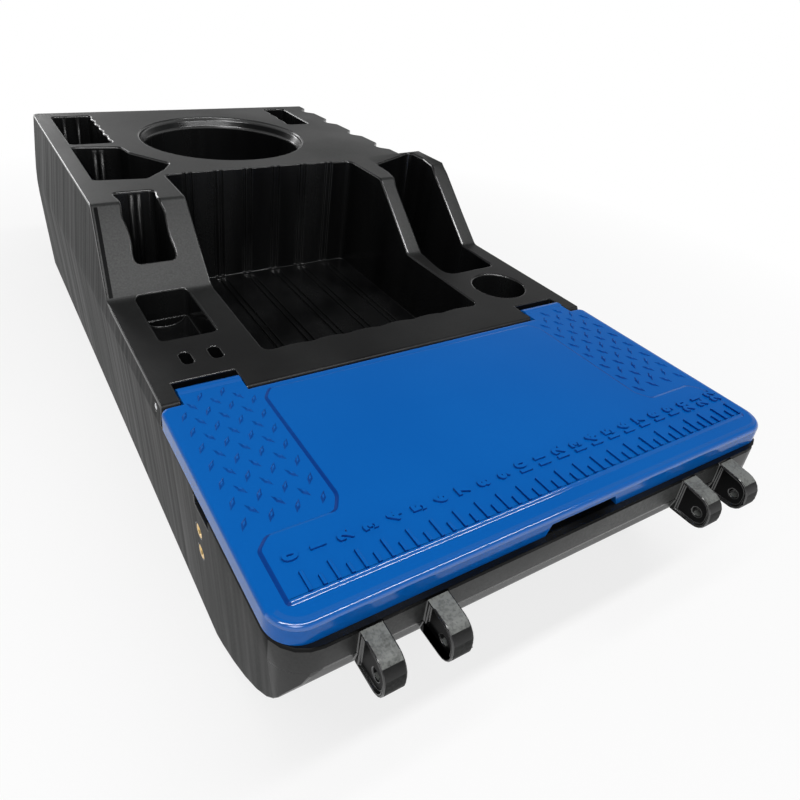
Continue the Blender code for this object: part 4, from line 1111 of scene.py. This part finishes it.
lid_panel = make_panel()
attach(lid_panel, "lid_body")
print("panel:", len(lid_panel.data.polygons), "faces")

# %% [markdown]
# Treads
#
# A moulded tread is a pattern of small lozenges that lean to either side in turn, as on chequer plate.
# One lozenge is a blunt four-sided cone, squashed and leaned. Two grids lay the two leans, half a step apart,
# and both are mirrored to the other side. The hinge tabs are narrower, so their row has only two lozenges.

# %% Treads
LOZENGE_LENGTH = 0.0215
LOZENGE_WIDTH = 0.0066
LOZENGE_RISE = 0.0015
LOZENGE_SUNK = 0.0006
LOZENGE_TOP_SHARE = 0.32
LOZENGE_LEAN = math.radians(30)
LOZENGE_FLATTEST = 0.95
TREAD_PITCH = (0.0254, 0.027)
TREAD_FIRST = (0.292, 0.005)
TREAD_ROWS = 8
TREAD_COLUMNS = 4


def lozenge(shape, x, back, lean):
    """Add one lozenge to a shape."""
    made = bmesh.ops.create_cone(shape, cap_ends=True, segments=4, radius1=0.5,
                                 radius2=0.5 * LOZENGE_TOP_SHARE, depth=LOZENGE_RISE + LOZENGE_SUNK)["verts"]
    bmesh.ops.scale(shape, verts=made, vec=(LOZENGE_WIDTH, LOZENGE_LENGTH, 1.0))
    bmesh.ops.rotate(shape, verts=made, cent=(0, 0, 0), matrix=Matrix.Rotation(lean, 3, "Z"))
    middle_z = LID_PLATE_Z + (LOZENGE_RISE - LOZENGE_SUNK) / 2
    bmesh.ops.translate(shape, verts=made, vec=lid_place(x, back, middle_z))


def make_treads():
    """The lozenges on both sides of the lid, and on the hinge tabs."""
    shape = bmesh.new()
    for side in (-1, 1):
        for shift, fewer, lean in ((0.0, 0, LOZENGE_LEAN), (0.5, 1, -LOZENGE_LEAN)):
            for row in range(TREAD_ROWS - fewer):
                for column in range(TREAD_COLUMNS - fewer):
                    if not fewer and row == 0 and column in (0, TREAD_COLUMNS - 1):
                        continue
                    x = side * (TREAD_FIRST[0] - TREAD_PITCH[0] * (column + shift))
                    lozenge(shape, x, TREAD_FIRST[1] + TREAD_PITCH[1] * (row + shift), side * lean)
    return piece_of(shape, "lid_treads", lid_tread_blue, lid_tread_painted_shade)


lid_treads = make_treads()
# The lozenges' flanks get painted shade, a deeper blue.
darken_flanks(lid_treads, LOZENGE_FLATTEST)
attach(lid_treads, "lid_body")
print("treads:", len(lid_treads.data.polygons), "faces")

# %% [markdown]
# The ruler
#
# A ruler is moulded along the front edge, for measuring a catch: a long mark for each inch, a short one for
# each half, and plain numbers that lie on their sides. The marks are low ridges, made as small blocks with a
# bevelled top. The numbers are text objects, made a mesh before they are placed.

# %% Ruler
INCH = 0.0254
RULER_LAST = 22
RULER_ZERO_X = -0.2718
LONG_MARK = (0.2613, 0.2816)
SHORT_MARK = (0.2705, 0.2813)
MARK_WIDTH = 0.0030
MARK_RISE = 0.0024
MARK_ROUNDING = 0.0006
NUMBER_BACK = 0.2440
NUMBER_SIZE = 0.0180
NUMBER_WEIGHT = 0.0010
NUMBER_CURVE_STEPS = 3
MARK_FLATTEST = 0.5


def make_marks():
    """The ruler's marks."""
    shape = bmesh.new()
    for half_inch in range(RULER_LAST * 2 + 1):
        x = RULER_ZERO_X + INCH * half_inch / 2
        near, far = SHORT_MARK if half_inch % 2 else LONG_MARK
        made = bmesh.ops.create_cube(shape, size=1.0)["verts"]
        bmesh.ops.scale(shape, verts=made, vec=(MARK_WIDTH, far - near, MARK_RISE * 2))
        bmesh.ops.translate(shape, verts=made, vec=lid_place(x, (near + far) / 2, LID_TOP_Z))
    upper = [edge for edge in shape.edges if all(vert.co.z > LID_TOP_Z for vert in edge.verts)]
    bmesh.ops.bevel(shape, geom=upper, offset=MARK_ROUNDING, segments=2, profile=0.5, affect="EDGES",
                    material=-1)
    return piece_of(shape, "ruler_marks", lid_blue, lid_blue_painted_shade)


def number_mesh(number):
    """The mesh of one number, flat on the ground."""
    text = bpy.data.curves.new("number", "FONT")
    text.body = str(number)
    text.size = NUMBER_SIZE
    text.align_x = "CENTER"
    text.align_y = "CENTER"
    text.extrude = MARK_RISE
    text.offset = NUMBER_WEIGHT
    text.resolution_u = NUMBER_CURVE_STEPS
    holder = bpy.data.objects.new("number", text)
    bpy.context.scene.collection.objects.link(holder)
    bpy.context.view_layer.update()
    graph = bpy.context.evaluated_depsgraph_get()
    mesh = bpy.data.meshes.new_from_object(holder.evaluated_get(graph), depsgraph=graph)
    bpy.data.objects.remove(holder, do_unlink=True)
    return mesh


def make_numbers():
    """The ruler's numbers, lying on their sides."""
    shape = bmesh.new()
    for number in range(RULER_LAST + 1):
        mesh = number_mesh(number)
        place = Matrix.Translation(lid_place(RULER_ZERO_X + INCH * number, NUMBER_BACK, LID_TOP_Z))
        mesh.transform(place @ Matrix.Rotation(QUARTER_TURN, 4, "Z"))
        shape.from_mesh(mesh)
    bmesh.ops.remove_doubles(shape, verts=shape.verts, dist=0.000001)
    return piece_of(shape, "ruler_numbers", lid_blue, lid_blue_painted_shade)


# The flanks of the marks and numbers get painted shade, a deeper blue.
for piece in (make_marks(), make_numbers()):
    darken_flanks(piece, MARK_FLATTEST)
    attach(piece, "lid_body")
    print(piece.name + ":", len(piece.data.polygons), "faces")

# %% [markdown]
# Metal and small parts
#
# Brass inserts and steel pins are turned: such metal has faint tool marks and is never evenly smooth. Inside an
# insert's bore the brass is given a dull, dark finish as painted shade. The vent plug is of the hull's black
# plastic. The pins and the plug keep the shapes of the sized model, which are right, so they only get their
# finish.

# %% Metal finishes
TOOL_MARK_DETAIL = 4.0
TOOL_MARK_VALUES = (0.3, 0.7)
TOOL_MARK_HEIGHT = 0.00003


def metal(name, colour, roughness, mark_scale):
    """Turned metal with fine tool marks."""
    made = bpy.data.materials.new(name)
    nodes, links = shader_nodes(made)
    shader = nodes["Principled BSDF"]
    shader.inputs["Base Color"].default_value = (*colour, 1.0)
    shader.inputs["Metallic"].default_value = 1.0
    place = nodes.new("ShaderNodeTexCoord").outputs["Object"]
    marks = noise(nodes, links, place, "tool_marks", mark_scale, TOOL_MARK_DETAIL)
    links.new(spread(nodes, links, marks, TOOL_MARK_VALUES, roughness), shader.inputs["Roughness"])
    links.new(bump(nodes, links, marks, TOOL_MARK_HEIGHT), shader.inputs["Normal"])
    return made


brass = metal("turned_brass", (0.80, 0.56, 0.24), (0.24, 0.42), 1500.0)
steel = metal("cut_steel", (0.62, 0.63, 0.65), (0.18, 0.38), 1200.0)
brass_shade = metal("shaded_brass", (0.09, 0.055, 0.02), (0.40, 0.60), 900.0)
plug_black = plastic("plug_black", (BLACK, BLOOM), (0.0, 0.2), (0.40, 0.50), 0.5, grain=0.00004)
SMALL_PART_FINISHES = {"hinge_pin": steel, "vent_plug": plug_black}
for name, node in frame["nodes"].items():
    for start, finish in SMALL_PART_FINISHES.items():
        if name.startswith(start):
            node.data.materials.clear()
            node.data.materials.append(finish)
            print(name, "gets", finish.name)

# %% [markdown]
# Threaded inserts
#
# A moulded-in insert is a small brass bush with a flat flange and a threaded bore. All of it is round, so one
# outline spun about the X axis gives the whole piece. The thread is made as rings, which look the same.

# %% Inserts
THREAD_RADIUS = 0.0034
THREAD_DEPTH = 0.0006
THREAD_RINGS = 7
THREAD_PITCH = 0.00125
THREAD_START = 0.0010
MOUTH_WIDER = 0.0012
FLANGE_THICKNESS = 0.002
FLANGE_CHAMFER = 0.0006
SHANK_SHARE = 0.75
INSERT_SEGMENTS = 40
INSERT_SHARP = math.radians(30)
BORE_SHADE_FROM = 0.0030


def insert_outline(flange_radius, length):
    """Depth and radius of each corner, from the shank's end round the flange and down the thread."""
    shank, flange, edge = flange_radius * SHANK_SHARE, FLANGE_THICKNESS, FLANGE_CHAMFER
    outline = [
        (length, 0.0), (length, shank), (flange, shank), (flange, flange_radius - edge / 2),
        (flange - edge / 2, flange_radius), (edge, flange_radius), (0.0, flange_radius - edge),
        (0.0, THREAD_RADIUS + MOUTH_WIDER),
    ]
    for ring in range(THREAD_RINGS):
        depth = THREAD_START + THREAD_PITCH * ring
        outline.append((depth, THREAD_RADIUS + THREAD_DEPTH))
        outline.append((depth + THREAD_PITCH / 2, THREAD_RADIUS))
    outline.append((THREAD_START + THREAD_PITCH * THREAD_RINGS, 0.0))
    return outline


def make_insert(name):
    """A threaded insert in the place of the sized one."""
    low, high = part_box(name)
    side = 1.0 if low.x > 0 else -1.0
    flange_radius = (high.z - low.z) / 2
    mouth = Vector((high.x if side > 0 else low.x, (low.y + high.y) / 2, (low.z + high.z) / 2))
    shape = bmesh.new()
    spots = [shape.verts.new(mouth + Vector((-side * depth, 0.0, radius)))
             for depth, radius in insert_outline(flange_radius, high.x - low.x)]
    outline = [shape.edges.new(pair) for pair in zip(spots, spots[1:])]
    bmesh.ops.spin(shape, geom=[*spots, *outline], cent=mouth, axis=(1, 0, 0), angle=math.tau,
                   steps=INSERT_SEGMENTS, use_merge=True)
    bmesh.ops.remove_doubles(shape, verts=shape.verts, dist=0.000001)
    bmesh.ops.recalc_face_normals(shape, faces=shape.faces)
    piece = piece_of(shape, name + "_dressed", brass, brass_shade)
    # Faces deep in the bore get the dark brass, painted shade.
    for face in piece.data.polygons:
        face.use_smooth = True
        aside = (face.center - mouth).yz.length
        if aside < THREAD_RADIUS + THREAD_DEPTH and abs(face.center.x - mouth.x) > BORE_SHADE_FROM:
            face.material_index = 1
    piece.data.set_sharp_from_angle(angle=INSERT_SHARP)
    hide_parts(name)
    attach(piece, "hull_body")
    print(name, "flange", round(flange_radius * 2000, 1), "mm across")


for name in sorted(frame["nodes"]):
    if name.startswith("insert"):
        make_insert(name)
